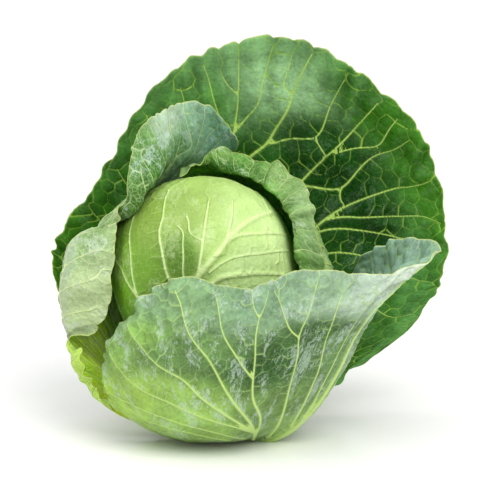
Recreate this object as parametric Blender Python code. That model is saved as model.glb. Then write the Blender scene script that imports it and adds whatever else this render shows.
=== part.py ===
"""A fresh white cabbage: a tight round head on a cut stalk, with five loose outer leaves.

Every leaf is described by a few ribs that run from the stalk out to the margin, given in
millimetres. A smooth surface through the ribs is the underside of the leaf, and the blade is
built inwards from it: thick and fleshy along the midrib at the base, thin at the margin.
"""
import bpy
import numpy as np

MM = 0.001

# Head and stalk (mm).
HEAD_CENTRE = (-27.0, 5.0, 139.0)
HEAD_RADIUS = 79.0
HEAD_SQUARENESS = 2.15
HEAD_LEAN = (-0.19, 0.03, 0.98)
STALK_FOOT_RADIUS = 17.0
STALK_NECK_RADIUS = 14.5
STALK_TOP_RADIUS = 16.5
STALK_TOP_CENTRE = (-11.0, 2.0, 58.5)
STALK_EDGE_ROUND = 1.2

# Leaf blade (mm).
BLADE_THICKNESS = 1.5
PETIOLE_THICKNESS = 7.0
PETIOLE_HALF_WIDTH = 0.10
PETIOLE_FADE = 0.42
MARGIN_WAVE = 1.6

# Ribs of each leaf, from the stalk to the margin, as x, y, z in mm.
FRONT_LEAF = [
    [(-16, -7, 8), (-38, -20, 3), (-62, -32, 6), (-80, -38, 15), (-94, -38, 22), (-104, -34, 29)],
    [(-14, -10, 8), (-36, -28, 1), (-66, -48, 12), (-90, -54, 28), (-105, -46, 40), (-109, -34, 48)],
    [(-12, -14, 8), (-33, -34, 1), (-68, -62, 20), (-94, -67, 44), (-108, -54, 64), (-111, -32, 78)],
    [(-10, -17, 8), (-30, -37, 1), (-63, -74, 24), (-86, -85, 62), (-96, -77, 94), (-94, -60, 112)],
    [(-5, -19, 8), (-22, -38, 1), (-44, -84, 26), (-59, -102, 70), (-68, -102, 108), (-68, -87, 144)],
    [(0, -20, 8), (-12, -37, 1), (-24, -88, 26), (-33, -106, 72), (-38, -110, 114), (-35, -99, 156)],
    [(4, -20, 8), (-1, -35, 1), (-2, -87, 25), (1, -104, 69), (5, -109, 108), (9, -102, 147)],
    [(7, -19, 8), (5, -32, 1), (15, -78, 24), (30, -92, 66), (44, -98, 112), (50, -92, 158)],
    [(9, -18, 8), (9, -30, 1), (28, -66, 23), (52, -76, 64), (76, -79, 111), (96, -68, 152)],
    [(11, -17, 8), (14, -29, 1), (40, -54, 20), (68, -64, 61), (99, -60, 110), (136, -46, 147)],
    [(12, -15, 8), (22, -26, 1), (50, -43, 17), (80, -48, 57), (112, -43, 112), (172, -20, 157)],
    [(15, -12, 8), (29, -20, 3), (58, -31, 17), (90, -27, 58), (119, -16, 110), (158, 0, 164)],
    [(17, -8, 8), (35, -13, 5), (63, -15, 20), (94, -2, 63), (117, 16, 112), (134, 25, 156)],
    [(19, -2, 8), (37, -4, 7), (64, 2, 25), (86, 22, 66), (102, 42, 104), (106, 52, 132)],
    [(19, 5, 8), (32, 8, 7), (53, 20, 24), (72, 38, 46), (84, 54, 66), (88, 62, 80)],
]
BACK_LEAF = [
    [(16, 11, 12), (34, 32, 8), (50, 50, 14), (64, 62, 19), (74, 68, 24), (85, 73, 28)],
    [(14, 14, 12), (36, 43, 8), (66, 64, 26), (94, 76, 40), (118, 82, 50), (139, 83, 58)],
    [(12, 16, 12), (34, 52, 7), (72, 80, 42), (112, 91, 66), (148, 94, 86), (176, 88, 102)],
    [(10, 18, 12), (30, 60, 6), (70, 94, 58), (114, 104, 94), (154, 106, 120), (184, 95, 141)],
    [(7, 19, 12), (24, 66, 5), (62, 102, 72), (104, 112, 118), (144, 113, 160), (176, 101, 202)],
    [(5, 20, 12), (18, 69, 5), (49, 106, 80), (86, 116, 138), (122, 118, 194), (154, 104, 249)],
    [(3, 20, 12), (12, 71, 5), (34, 108, 86), (61, 119, 152), (86, 121, 222), (105, 105, 293)],
    [(0, 20, 12), (4, 72, 5), (14, 109, 90), (28, 120, 160), (37, 122, 240), (44, 107, 322)],
    [(-3, 20, 12), (-4, 72, 5), (-7, 108, 90), (-9, 119, 158), (-13, 121, 236), (-18, 107, 312)],
    [(-5, 19, 12), (-12, 69, 6), (-27, 106, 84), (-42, 117, 148), (-56, 116, 216), (-68, 101, 282)],
    [(-8, 18, 12), (-19, 64, 7), (-41, 99, 72), (-63, 108, 128), (-87, 105, 178), (-106, 93, 224)],
    [(-11, 16, 12), (-26, 56, 8), (-54, 88, 56), (-84, 95, 100), (-110, 91, 145), (-130, 80, 186)],
    [(-13, 15, 12), (-30, 47, 9), (-64, 74, 42), (-100, 80, 76), (-131, 76, 112), (-155, 66, 151)],
    [(-14, 14, 12), (-32, 40, 8), (-68, 62, 24), (-104, 70, 48), (-134, 66, 80), (-156, 56, 111)],
]
LEFT_LEAF = [
    [(-17, -5, 15), (-50, -4, 1), (-88, -2, 32), (-121, -3, 58), (-141, -13, 81), (-127, -32, 95)],
    [(-18, -3, 15), (-52, 0, 1), (-96, -4, 38), (-135, -8, 80), (-137, -28, 101), (-109, -40, 107)],
    [(-18, -1, 15), (-54, 4, 2), (-103, 2, 47), (-143, -3, 99), (-139, -28, 123), (-103, -42, 134)],
    [(-19, 2, 15), (-55, 8, 4), (-107, 8, 54), (-145, 5, 119), (-136, -22, 150), (-100, -38, 168)],
    [(-19, 5, 16), (-55, 13, 8), (-107, 14, 60), (-142, 14, 140), (-124, -12, 176), (-97, -32, 191)],
    [(-19, 7, 16), (-53, 18, 10), (-103, 24, 66), (-124, 16, 160), (-90, -21, 191), (-90, -28, 213)],
    [(-18, 9, 16), (-50, 24, 12), (-99, 34, 76), (-115, 27, 173), (-75, -15, 210), (-86, -14, 240)],
    [(-17, 12, 17), (-46, 30, 14), (-92, 46, 82), (-100, 47, 180), (-63, 8, 222), (-77, 6, 261)],
    [(-15, 14, 17), (-41, 37, 15), (-81, 60, 86), (-88, 63, 182), (-56, 29, 229), (-60, 18, 273)],
    [(-13, 16, 17), (-36, 43, 16), (-66, 72, 88), (-74, 82, 162), (-43, 45, 234), (-40, 30, 278)],
    [(-11, 17, 17), (-31, 48, 16), (-52, 82, 90), (-55, 92, 160), (-24, 63, 230), (-18, 42, 271)],
    [(-9, 18, 17), (-25, 51, 16), (-38, 88, 88), (-34, 98, 152), (-6, 78, 212), (4, 60, 238)],
]
CURLED_LEAF = [
    [(-5, 18, 24), (-16, 44, 40), (-32, 72, 88), (-41, 88, 150), (-44, 62, 205), (-46, 34, 221), (-47, 17, 220)],
    [(-2, 19, 24), (-9, 47, 40), (-18, 78, 88), (-20, 91, 150), (-24, 66, 206), (-27, 37, 224), (-29, 26, 228)],
    [(2, 19, 24), (0, 49, 40), (-2, 80, 88), (0, 91, 150), (-4, 64, 208), (-8, 22, 222), (-15, 31, 237)],
    [(6, 18, 24), (12, 47, 40), (20, 76, 88), (24, 83, 150), (20, 56, 206), (10, 12, 218), (14, 34, 227)],
    [(10, 16, 24), (23, 42, 38), (38, 66, 86), (48, 66, 148), (43, 40, 201), (28, 1, 211), (38, 24, 224)],
    [(13, 13, 23), (31, 34, 37), (52, 52, 84), (65, 48, 144), (59, 27, 189), (39, -11, 202), (57, 9, 212)],
    [(16, 10, 22), (37, 26, 36), (60, 38, 82), (74, 29, 137), (68, 10, 171), (47, -19, 189), (64, -4, 193)],
    [(17, 7, 22), (40, 19, 35), (67, 26, 78), (79, 16, 127), (76, -2, 153), (50, -25, 172), (68, -12, 166)],
    [(18, 4, 21), (42, 11, 33), (72, 14, 72), (83, 4, 112), (79, -15, 134), (55, -31, 148), (76, -20, 143)],
    [(19, 0, 20), (42, 3, 31), (69, 4, 60), (83, -8, 90), (80, -25, 110), (60, -38, 120), (76, -30, 116)],
]
LOWER_LEFT_LEAF = [
    [(-17, -8, 11), (-46, -9, 8), (-84, -12, 30), (-117, -13, 60), (-138, -22, 71), (-130, -34, 81)],
    [(-16, -9, 11), (-45, -12, 7), (-82, -13, 21), (-113, -12, 43), (-133, -20, 56), (-127, -35, 67)],
    [(-15, -10, 11), (-42, -15, 6), (-78, -17, 15), (-106, -16, 33), (-126, -20, 45), (-123, -34, 55)],
    [(-14, -11, 11), (-39, -17, 6), (-72, -20, 10), (-98, -20, 23), (-116, -20, 34), (-117, -30, 43)],
    [(-13, -12, 11), (-36, -18, 6), (-64, -22, 9), (-88, -23, 16), (-103, -22, 24), (-108, -26, 32)],
]

# Underside turns with the rib order on some leaves, so each states which way its blade is built.
LEAVES = [
    # name, ribs, blade direction, midrib position across the ribs, grid along, grid out, waves
    ("front_leaf", FRONT_LEAF, -1, 0.68, 32, 15, 11),
    ("back_leaf", BACK_LEAF, -1, 0.52, 32, 15, 13),
    ("left_leaf", LEFT_LEAF, 1, 0.45, 30, 16, 9),
    ("right_curled_leaf", CURLED_LEAF, 1, 0.45, 26, 18, 8),
    ("lower_left_leaf", LOWER_LEFT_LEAF, -1, 0.40, 14, 13, 3),
]

COLOURS = {
    "head": (0.56, 0.74, 0.22),
    "stalk": (0.80, 0.82, 0.58),
    "front_leaf": (0.32, 0.52, 0.22),
    "back_leaf": (0.05, 0.20, 0.03),
    "left_leaf": (0.42, 0.58, 0.30),
    "right_curled_leaf": (0.20, 0.42, 0.10),
    "lower_left_leaf": (0.34, 0.55, 0.08),
}


def material(name):
    """A plain slightly glossy material in the node's own colour."""
    made = bpy.data.materials.new(name + "_surface")
    made.use_nodes = True
    shader = made.node_tree.nodes["Principled BSDF"]
    shader.inputs["Base Color"].default_value = COLOURS[name] + (1.0,)
    shader.inputs["Roughness"].default_value = 0.45
    return made


def add_object(name, points, faces):
    """One named mesh object with its own material; points are in mm."""
    mesh = bpy.data.meshes.new(name)
    mesh.from_pydata((np.asarray(points) * MM).tolist(), [], faces)
    mesh.validate()
    mesh.update()
    made = bpy.data.objects.new(name, mesh)
    made.data.materials.append(material(name))
    bpy.context.scene.collection.objects.link(made)
    return made


def spline(knots, values, where):
    """Natural cubic spline through values at knots, read at the positions in where."""
    knots = np.asarray(knots, float)
    values = np.asarray(values, float)
    count = len(knots)
    flat = values.reshape(count, -1)
    step = np.diff(knots)
    system = np.eye(count)
    right = np.zeros_like(flat)
    for i in range(1, count - 1):
        system[i, i - 1] = step[i - 1]
        system[i, i] = 2 * (step[i - 1] + step[i])
        system[i, i + 1] = step[i]
        right[i] = 6 * ((flat[i + 1] - flat[i]) / step[i] - (flat[i] - flat[i - 1]) / step[i - 1])
    bend = np.linalg.solve(system, right)
    k = np.clip(np.searchsorted(knots, where, side="right") - 1, 0, count - 2)
    a = ((knots[k + 1] - where) / step[k])[:, None]
    b = 1.0 - a
    h = step[k][:, None]
    out = a * flat[k] + b * flat[k + 1]
    out = out + ((a**3 - a) * bend[k] + (b**3 - b) * bend[k + 1]) * h**2 / 6
    return out.reshape((len(where),) + values.shape[1:])


def knots_of(net):
    """Spacing of the rows of a net by the square root of their mean distance apart."""
    gap = np.sqrt(np.linalg.norm(np.diff(net, axis=0), axis=-1).mean(axis=1))
    along = np.concatenate([[0.0], np.cumsum(gap)])
    return along / along[-1]


def rib_surface(ribs, count_u, count_v):
    """Smooth grid of points through the ribs: u runs across them, v from stalk to margin."""
    net = np.asarray(ribs, float)
    across = spline(knots_of(net), net, np.linspace(0, 1, count_u))
    rows = across.transpose(1, 0, 2)
    return spline(knots_of(net.transpose(1, 0, 2)), rows, np.linspace(0, 1, count_v)).transpose(1, 0, 2)


def normals_of(grid, direction):
    """Unit normals of a grid, turned towards the side the blade is built on."""
    du = np.gradient(grid, axis=0)
    dv = np.gradient(grid, axis=1)
    normal = np.cross(du, dv) * direction
    return normal / np.linalg.norm(normal, axis=-1, keepdims=True)


def smooth(x):
    """Smooth ramp from 0 to 1."""
    x = np.clip(x, 0.0, 1.0)
    return x * x * (3 - 2 * x)


def leaf(name, ribs, direction, midrib, count_u, count_v, waves):
    """Closed leaf: underside grid, upper grid a blade's thickness inwards, and a rim round both."""
    under = rib_surface(ribs, count_u, count_v)
    normal = normals_of(under, direction)
    u = np.linspace(0, 1, count_u)[:, None]
    v = np.linspace(0, 1, count_v)[None, :]
    wave = MARGIN_WAVE * np.sin(2 * np.pi * waves * u) * smooth((v - 0.6) / 0.4)
    under = under + normal * wave[..., None]
    fade = 1 - smooth(v / PETIOLE_FADE)
    hump = np.exp(-(((u - midrib) / PETIOLE_HALF_WIDTH) ** 2))
    thickness = BLADE_THICKNESS + (PETIOLE_THICKNESS - BLADE_THICKNESS) * hump * fade
    upper = under + normal * thickness[..., None]
    points = np.concatenate([under.reshape(-1, 3), upper.reshape(-1, 3)])
    index = np.arange(count_u * count_v).reshape(count_u, count_v)
    shift = count_u * count_v
    faces = []
    for i in range(count_u - 1):
        for j in range(count_v - 1):
            quad = (index[i, j], index[i, j + 1], index[i + 1, j + 1], index[i + 1, j])
            faces.append(tuple(int(n) for n in quad))
            faces.append(tuple(int(n) + shift for n in reversed(quad)))
    loop = [index[i, 0] for i in range(count_u)]
    loop += [index[count_u - 1, j] for j in range(1, count_v)]
    loop += [index[i, count_v - 1] for i in range(count_u - 2, -1, -1)]
    loop += [index[0, j] for j in range(count_v - 2, 0, -1)]
    for a, b in zip(loop, loop[1:] + loop[:1]):
        faces.append((int(a), int(b), int(b) + shift, int(a) + shift))
    if direction < 0:
        faces = [tuple(reversed(face)) for face in faces]
    return add_object(name, points, faces)


def turned_body(name, rings):
    """Closed body from a stack of rings of equal length, bottom first, with flat ends."""
    count = len(rings[0])
    points = np.concatenate(rings)
    faces = [tuple(range(count - 1, -1, -1))]
    for ring in range(len(rings) - 1):
        for i in range(count):
            a = ring * count + i
            b = ring * count + (i + 1) % count
            faces.append((a, b, b + count, a + count))
    top = (len(rings) - 1) * count
    faces.append(tuple(range(top, top + count)))
    return add_object(name, points, faces)


def head():
    """Tight head: a slightly squared ball leaning a little, closed by small flats at its poles."""
    axis = np.array(HEAD_LEAN) / np.linalg.norm(HEAD_LEAN)
    side = np.cross((0.0, 1.0, 0.0), axis)
    side /= np.linalg.norm(side)
    front = np.cross(axis, side)
    rings = []
    turn = np.linspace(0, 2 * np.pi, 44, endpoint=False)
    for polar in np.linspace(0.10, np.pi - 0.04, 25):
        up = -np.cos(polar)
        out = np.sin(polar)
        scale = (abs(up) ** HEAD_SQUARENESS + abs(out) ** HEAD_SQUARENESS) ** (-1 / HEAD_SQUARENESS)
        radius = HEAD_RADIUS * scale
        ring = np.outer(np.cos(turn), side) + np.outer(np.sin(turn), front)
        rings.append(np.array(HEAD_CENTRE) + radius * (up * axis + out * ring))
    return turned_body("head", rings)


def stalk():
    """Cut stump under the head, with a flat face to stand on and faint ridges up its sides."""
    turn = np.linspace(0, 2 * np.pi, 32, endpoint=False)
    rings = []
    levels = [
        (0.0, STALK_FOOT_RADIUS - STALK_EDGE_ROUND),
        (STALK_EDGE_ROUND, STALK_FOOT_RADIUS),
        (12.0, STALK_FOOT_RADIUS - 0.6),
        (26.0, STALK_NECK_RADIUS),
        (42.0, STALK_NECK_RADIUS),
        (STALK_TOP_CENTRE[2], STALK_TOP_RADIUS),
    ]
    for height, radius in levels:
        lean = smooth((height - 12.0) / (STALK_TOP_CENTRE[2] - 12.0))
        ridge = 1 + 0.02 * np.sin(5 * turn) * min(height / 12.0, 1.0)
        x = STALK_TOP_CENTRE[0] * lean + radius * ridge * np.cos(turn)
        y = STALK_TOP_CENTRE[1] * lean + radius * ridge * np.sin(turn)
        rings.append(np.stack([x, y, np.full_like(x, height)], axis=1))
    return turned_body("stalk", rings)


for old in list(bpy.data.objects):
    bpy.data.objects.remove(old, do_unlink=True)

head()
stalk()
for row in LEAVES:
    leaf(*row)
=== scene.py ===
"""A fresh white cabbage on a pale studio floor: a tight round head, a cut stalk and five leaves.

Each leaf is a smooth surface through a few ribs, given in mm from the stalk to the margin. It is
spread flat, a net of veins is grown on the flat leaf, and the net then raises ridges, puffs up the
leaf between them and colours the surface through mesh attributes.
"""
import heapq

import bmesh
import bpy
import numpy as np
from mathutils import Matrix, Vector
from mathutils.geometry import delaunay_2d_cdt


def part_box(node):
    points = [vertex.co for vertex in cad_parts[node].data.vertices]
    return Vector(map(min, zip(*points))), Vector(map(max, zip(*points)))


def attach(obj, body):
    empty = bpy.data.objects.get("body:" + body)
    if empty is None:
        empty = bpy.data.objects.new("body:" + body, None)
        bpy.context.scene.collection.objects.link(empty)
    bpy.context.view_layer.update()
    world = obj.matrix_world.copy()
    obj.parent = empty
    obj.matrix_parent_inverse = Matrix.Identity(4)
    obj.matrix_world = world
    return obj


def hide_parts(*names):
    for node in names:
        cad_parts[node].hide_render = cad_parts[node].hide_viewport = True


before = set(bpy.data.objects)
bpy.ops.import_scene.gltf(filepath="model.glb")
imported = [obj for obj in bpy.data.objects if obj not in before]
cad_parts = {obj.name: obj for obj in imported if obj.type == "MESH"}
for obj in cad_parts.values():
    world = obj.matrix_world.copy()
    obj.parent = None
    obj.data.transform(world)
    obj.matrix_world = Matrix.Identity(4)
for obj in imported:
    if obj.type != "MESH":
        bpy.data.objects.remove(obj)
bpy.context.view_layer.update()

MM = 0.001

# Head (mm).
HEAD_RADIUS = 79.0
HEAD_SQUARENESS = 2.15
HEAD_LEAN = (-0.19, 0.03, 0.98)
HEAD_CENTRE = (-27.0, 5.0, 139.0)
HEAD_GRID = (400, 236)
HEAD_MESH = 13.0
POLE_GAP = 0.02

# Stalk (mm): height and radius up its side, how far its top stands from its foot, and the height
# at which it starts to lean and the height over which it does.
STALK_PROFILE = [(0, 15.8), (1.2, 17), (12, 16.4), (26, 14.5), (42, 14.5), (58, 16.3)]
STALK_LEAN = (-11.0, 2.0)
LEAN_START, LEAN_RANGE = 12.0, 46.5
STALK_GRID = (120, 48)

# Leaf blade (mm); the petiole's reach in shares of the leaf.
BLADE_THICKNESS = 1.1
MARGIN_THICKNESS = 0.7
PETIOLE_THICKNESS = 6.5
PETIOLE_HALF_WIDTH = 0.10
PETIOLE_FADE = 0.42
LEAF_WIDTH = 2 * np.pi * 40

# Flat leaf (mm): radius at which its ribs start, radius that turns its angles into lengths for the
# streaks, and grid of the table that holds it.
CROWN = 12.0
STREAK_RADIUS = 130.0
TABLE = (161, 121)

# Vein net: distance of flank seeds and of snapping to a vein, as shares of the mesh size, then the
# width of a wedge that is filled, the step along a vein, the search cell and no vein in reach (mm).
FLANK = 0.43
SNAP = 0.33
WEB = 4.4
GUIDE_STEP = 2.5
CELL = 20.0
FAR = 60.0

FRONT_RIBS = [
    [(-16, -7, 8), (-38, -20, 3), (-62, -32, 6), (-80, -38, 15), (-94, -38, 22), (-104, -34, 29)],
    [(-14, -10, 8), (-36, -28, 1), (-66, -48, 12), (-90, -54, 28), (-105, -46, 40),
     (-109, -34, 48)],
    [(-12, -14, 8), (-33, -34, 1), (-68, -62, 20), (-94, -67, 44), (-108, -54, 64),
     (-111, -32, 78)],
    [(-10, -17, 8), (-30, -37, 1), (-63, -74, 24), (-86, -85, 62), (-96, -77, 94), (-94, -60, 112)],
    [(-5, -19, 8), (-22, -38, 1), (-44, -84, 26), (-59, -102, 70), (-68, -102, 108),
     (-68, -87, 144)],
    [(0, -20, 8), (-12, -37, 1), (-24, -88, 26), (-33, -106, 72), (-38, -110, 114),
     (-35, -99, 156)],
    [(4, -20, 8), (-1, -35, 1), (-2, -87, 25), (1, -104, 69), (5, -109, 108), (9, -102, 147)],
    [(7, -19, 8), (5, -32, 1), (15, -78, 24), (30, -92, 66), (44, -98, 112), (50, -92, 158)],
    [(9, -18, 8), (9, -30, 1), (28, -66, 23), (52, -76, 64), (76, -79, 111), (96, -68, 152)],
    [(11, -17, 8), (14, -29, 1), (40, -54, 20), (68, -64, 61), (99, -60, 110), (136, -46, 147)],
    [(12, -15, 8), (22, -26, 1), (50, -43, 17), (80, -48, 57), (112, -43, 112), (172, -20, 157)],
    [(15, -12, 8), (29, -20, 3), (58, -31, 17), (90, -27, 58), (119, -16, 110), (158, 0, 164)],
    [(17, -8, 8), (35, -13, 5), (63, -15, 20), (94, -2, 63), (117, 16, 112), (134, 25, 156)],
    [(19, -2, 8), (37, -4, 7), (64, 2, 25), (86, 22, 66), (102, 42, 104), (106, 52, 132)],
    [(19, 5, 8), (32, 8, 7), (53, 20, 24), (72, 38, 46), (84, 54, 66), (88, 62, 80)],
]
BACK_RIBS = [
    [(16, 11, 12), (34, 32, 8), (50, 50, 14), (64, 62, 19), (74, 68, 24), (85, 73, 28)],
    [(14, 14, 12), (36, 43, 8), (66, 64, 26), (94, 76, 40), (118, 82, 50), (139, 83, 58)],
    [(12, 16, 12), (34, 52, 7), (72, 80, 42), (112, 91, 66), (148, 94, 86), (176, 88, 102)],
    [(10, 18, 12), (30, 60, 6), (70, 94, 58), (114, 104, 94), (154, 106, 120), (184, 95, 141)],
    [(7, 19, 12), (24, 66, 5), (62, 102, 72), (104, 112, 118), (144, 113, 160), (176, 101, 202)],
    [(5, 20, 12), (18, 69, 5), (49, 106, 80), (86, 116, 138), (122, 118, 194), (154, 104, 249)],
    [(3, 20, 12), (12, 71, 5), (34, 108, 86), (61, 119, 152), (86, 121, 222), (105, 105, 293)],
    [(0, 20, 12), (4, 72, 5), (14, 109, 90), (28, 120, 160), (37, 122, 240), (44, 107, 322)],
    [(-3, 20, 12), (-4, 72, 5), (-7, 108, 90), (-9, 119, 158), (-13, 121, 236), (-18, 107, 312)],
    [(-5, 19, 12), (-12, 69, 6), (-27, 106, 84), (-42, 117, 148), (-56, 116, 216), (-68, 101, 282)],
    [(-8, 18, 12), (-19, 64, 7), (-41, 99, 72), (-63, 108, 128), (-87, 105, 178), (-106, 93, 224)],
    [(-11, 16, 12), (-26, 56, 8), (-54, 88, 56), (-84, 95, 100), (-110, 91, 145), (-130, 80, 186)],
    [(-13, 15, 12), (-30, 47, 9), (-64, 74, 42), (-100, 80, 76), (-131, 76, 112), (-155, 66, 151)],
    [(-14, 14, 12), (-32, 40, 8), (-68, 62, 24), (-104, 70, 48), (-134, 66, 80), (-156, 56, 111)],
]
LEFT_RIBS = [
    [(-17, -5, 15), (-50, -4, 1), (-88, -2, 32), (-121, -3, 58), (-141, -13, 81), (-127, -32, 95)],
    [(-18, -3, 15), (-52, 0, 1), (-96, -4, 38), (-135, -8, 80), (-137, -28, 101), (-109, -40, 107)],
    [(-18, -1, 15), (-54, 4, 2), (-103, 2, 47), (-143, -3, 99), (-139, -28, 123), (-103, -42, 134)],
    [(-19, 2, 15), (-55, 8, 4), (-107, 8, 54), (-145, 5, 119), (-136, -22, 150), (-100, -38, 168)],
    [(-19, 5, 16), (-55, 13, 8), (-107, 14, 60), (-142, 14, 140), (-124, -12, 176),
     (-97, -32, 191)],
    [(-19, 7, 16), (-53, 18, 10), (-103, 24, 66), (-124, 16, 160), (-90, -21, 191),
     (-90, -28, 213)],
    [(-18, 9, 16), (-50, 24, 12), (-99, 34, 76), (-115, 27, 173), (-75, -15, 210), (-86, -14, 240)],
    [(-17, 12, 17), (-46, 30, 14), (-92, 46, 82), (-100, 47, 180), (-63, 8, 222), (-77, 6, 261)],
    [(-15, 14, 17), (-41, 37, 15), (-81, 60, 86), (-88, 63, 182), (-56, 29, 229), (-60, 18, 273)],
    [(-13, 16, 17), (-36, 43, 16), (-66, 72, 88), (-74, 82, 162), (-43, 45, 234), (-40, 30, 278)],
    [(-11, 17, 17), (-31, 48, 16), (-52, 82, 90), (-55, 92, 160), (-24, 63, 230), (-18, 42, 271)],
    [(-9, 18, 17), (-25, 51, 16), (-38, 88, 88), (-34, 98, 152), (-6, 78, 212), (4, 60, 238)],
]
CURLED_RIBS = [
    [(-5, 18, 24), (-16, 44, 40), (-32, 72, 88), (-41, 88, 150), (-44, 62, 205), (-46, 34, 221),
     (-47, 17, 220)],
    [(-2, 19, 24), (-9, 47, 40), (-18, 78, 88), (-20, 91, 150), (-24, 66, 206), (-27, 37, 224),
     (-29, 26, 228)],
    [(2, 19, 24), (0, 49, 40), (-2, 80, 88), (0, 91, 150), (-4, 64, 208), (-8, 22, 222),
     (-15, 31, 237)],
    [(6, 18, 24), (12, 47, 40), (20, 76, 88), (24, 83, 150), (20, 56, 206), (10, 12, 218),
     (14, 34, 227)],
    [(10, 16, 24), (23, 42, 38), (38, 66, 86), (48, 66, 148), (43, 40, 201), (28, 1, 211),
     (38, 24, 224)],
    [(13, 13, 23), (31, 34, 37), (52, 52, 84), (65, 48, 144), (59, 27, 189), (39, -11, 202),
     (57, 9, 212)],
    [(16, 10, 22), (37, 26, 36), (60, 38, 82), (74, 29, 137), (68, 10, 171), (47, -19, 189),
     (64, -4, 193)],
    [(17, 7, 22), (40, 19, 35), (67, 26, 78), (79, 16, 127), (76, -2, 153), (50, -25, 172),
     (68, -12, 166)],
    [(18, 4, 21), (42, 11, 33), (72, 14, 72), (83, 4, 112), (79, -15, 134), (55, -31, 148),
     (76, -20, 143)],
    [(19, 0, 20), (42, 3, 31), (69, 4, 60), (83, -8, 90), (80, -25, 110), (60, -38, 120),
     (76, -30, 116)],
]
LOWER_LEFT_RIBS = [
    [(-17, -8, 11), (-46, -9, 8), (-84, -12, 30), (-117, -13, 60), (-138, -22, 71),
     (-130, -34, 81)],
    [(-16, -9, 11), (-45, -12, 7), (-82, -13, 21), (-113, -12, 43), (-133, -20, 56),
     (-127, -35, 67)],
    [(-15, -10, 11), (-42, -15, 6), (-78, -17, 15), (-106, -16, 33), (-126, -20, 45),
     (-123, -34, 55)],
    [(-14, -11, 11), (-39, -17, 6), (-72, -20, 10), (-98, -20, 23), (-116, -20, 34),
     (-117, -30, 43)],
    [(-13, -12, 11), (-36, -18, 6), (-64, -22, 9), (-88, -23, 16), (-103, -22, 24),
     (-108, -26, 32)],
]

# Main veins of each leaf: width at the base and at the end (mm), then places (u, v), where u runs
# across the ribs and v from stalk to margin.
FRONT_VEINS = [
    (9.0, 2.2, [(0.715, 0), (0.715, 0.3), (0.715, 0.6), (0.715, 0.85), (0.715, 0.97)]),
    (3.0, 1.1, [(0.62, 0.2), (0.55, 0.30), (0.50, 0.45), (0.475, 0.5), (0.46, 0.6), (0.455, 0.7),
                (0.45, 0.8), (0.452, 0.87)]),
    (1.3, 0.8, [(0.452, 0.87), (0.442, 0.92), (0.438, 0.97)]),
    (1.3, 0.8, [(0.452, 0.87), (0.46, 0.92), (0.463, 0.97)]),
    (3.2, 1.0, [(0.6, 0.22), (0.53, 0.32), (0.47, 0.42), (0.44, 0.47), (0.40, 0.58), (0.378, 0.69),
                (0.355, 0.765), (0.343, 0.835), (0.335, 0.9), (0.325, 0.95)]),
    (1.8, 0.8, [(0.46, 0.60), (0.438, 0.655), (0.419, 0.725), (0.405, 0.785), (0.398, 0.835),
                (0.392, 0.91), (0.385, 0.96)]),
    (2.8, 0.9, [(0.50, 0.36), (0.43, 0.42), (0.39, 0.465), (0.348, 0.53), (0.327, 0.58),
                (0.303, 0.615), (0.277, 0.66), (0.262, 0.71), (0.249, 0.765), (0.232, 0.84),
                (0.222, 0.9)]),
    (2.8, 1.0, [(0.66, 0.26), (0.62, 0.36), (0.59, 0.45), (0.565, 0.54), (0.55, 0.62),
      (0.533, 0.71),
                (0.525, 0.76), (0.527, 0.83), (0.532, 0.9), (0.535, 0.96)]),
    (1.5, 0.8, [(0.525, 0.76), (0.503, 0.80), (0.49, 0.865), (0.48, 0.92), (0.472, 0.96)]),
    (2.4, 0.9, [(0.69, 0.36), (0.66, 0.45), (0.63, 0.6), (0.60, 0.72), (0.585, 0.82),
      (0.58, 0.92)]),
    (2.2, 0.9, [(0.705, 0.42), (0.69, 0.5), (0.67, 0.65), (0.65, 0.8), (0.64, 0.92)]),
    (2.6, 0.9, [(0.52, 0.33), (0.44, 0.38), (0.36, 0.42), (0.31, 0.455), (0.275, 0.49),
                (0.238, 0.53), (0.205, 0.6), (0.185, 0.7), (0.17, 0.82), (0.162, 0.92)]),
    (2.4, 0.9, [(0.50, 0.27), (0.40, 0.33), (0.30, 0.38), (0.22, 0.44), (0.16, 0.52), (0.12, 0.64),
                (0.105, 0.78), (0.1, 0.9)]),
    (2.2, 0.8, [(0.42, 0.27), (0.3, 0.33), (0.18, 0.4), (0.1, 0.5), (0.06, 0.65), (0.04, 0.85)]),
    (2.0, 0.9, [(0.72, 0.2), (0.73, 0.3), (0.76, 0.5), (0.79, 0.7), (0.81, 0.9)]),
    (2.2, 0.9, [(0.72, 0.1), (0.74, 0.2), (0.80, 0.4), (0.85, 0.6), (0.88, 0.85)]),
    (2.0, 0.8, [(0.76, 0.15), (0.86, 0.35), (0.93, 0.6), (0.96, 0.85)]),
]
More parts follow.
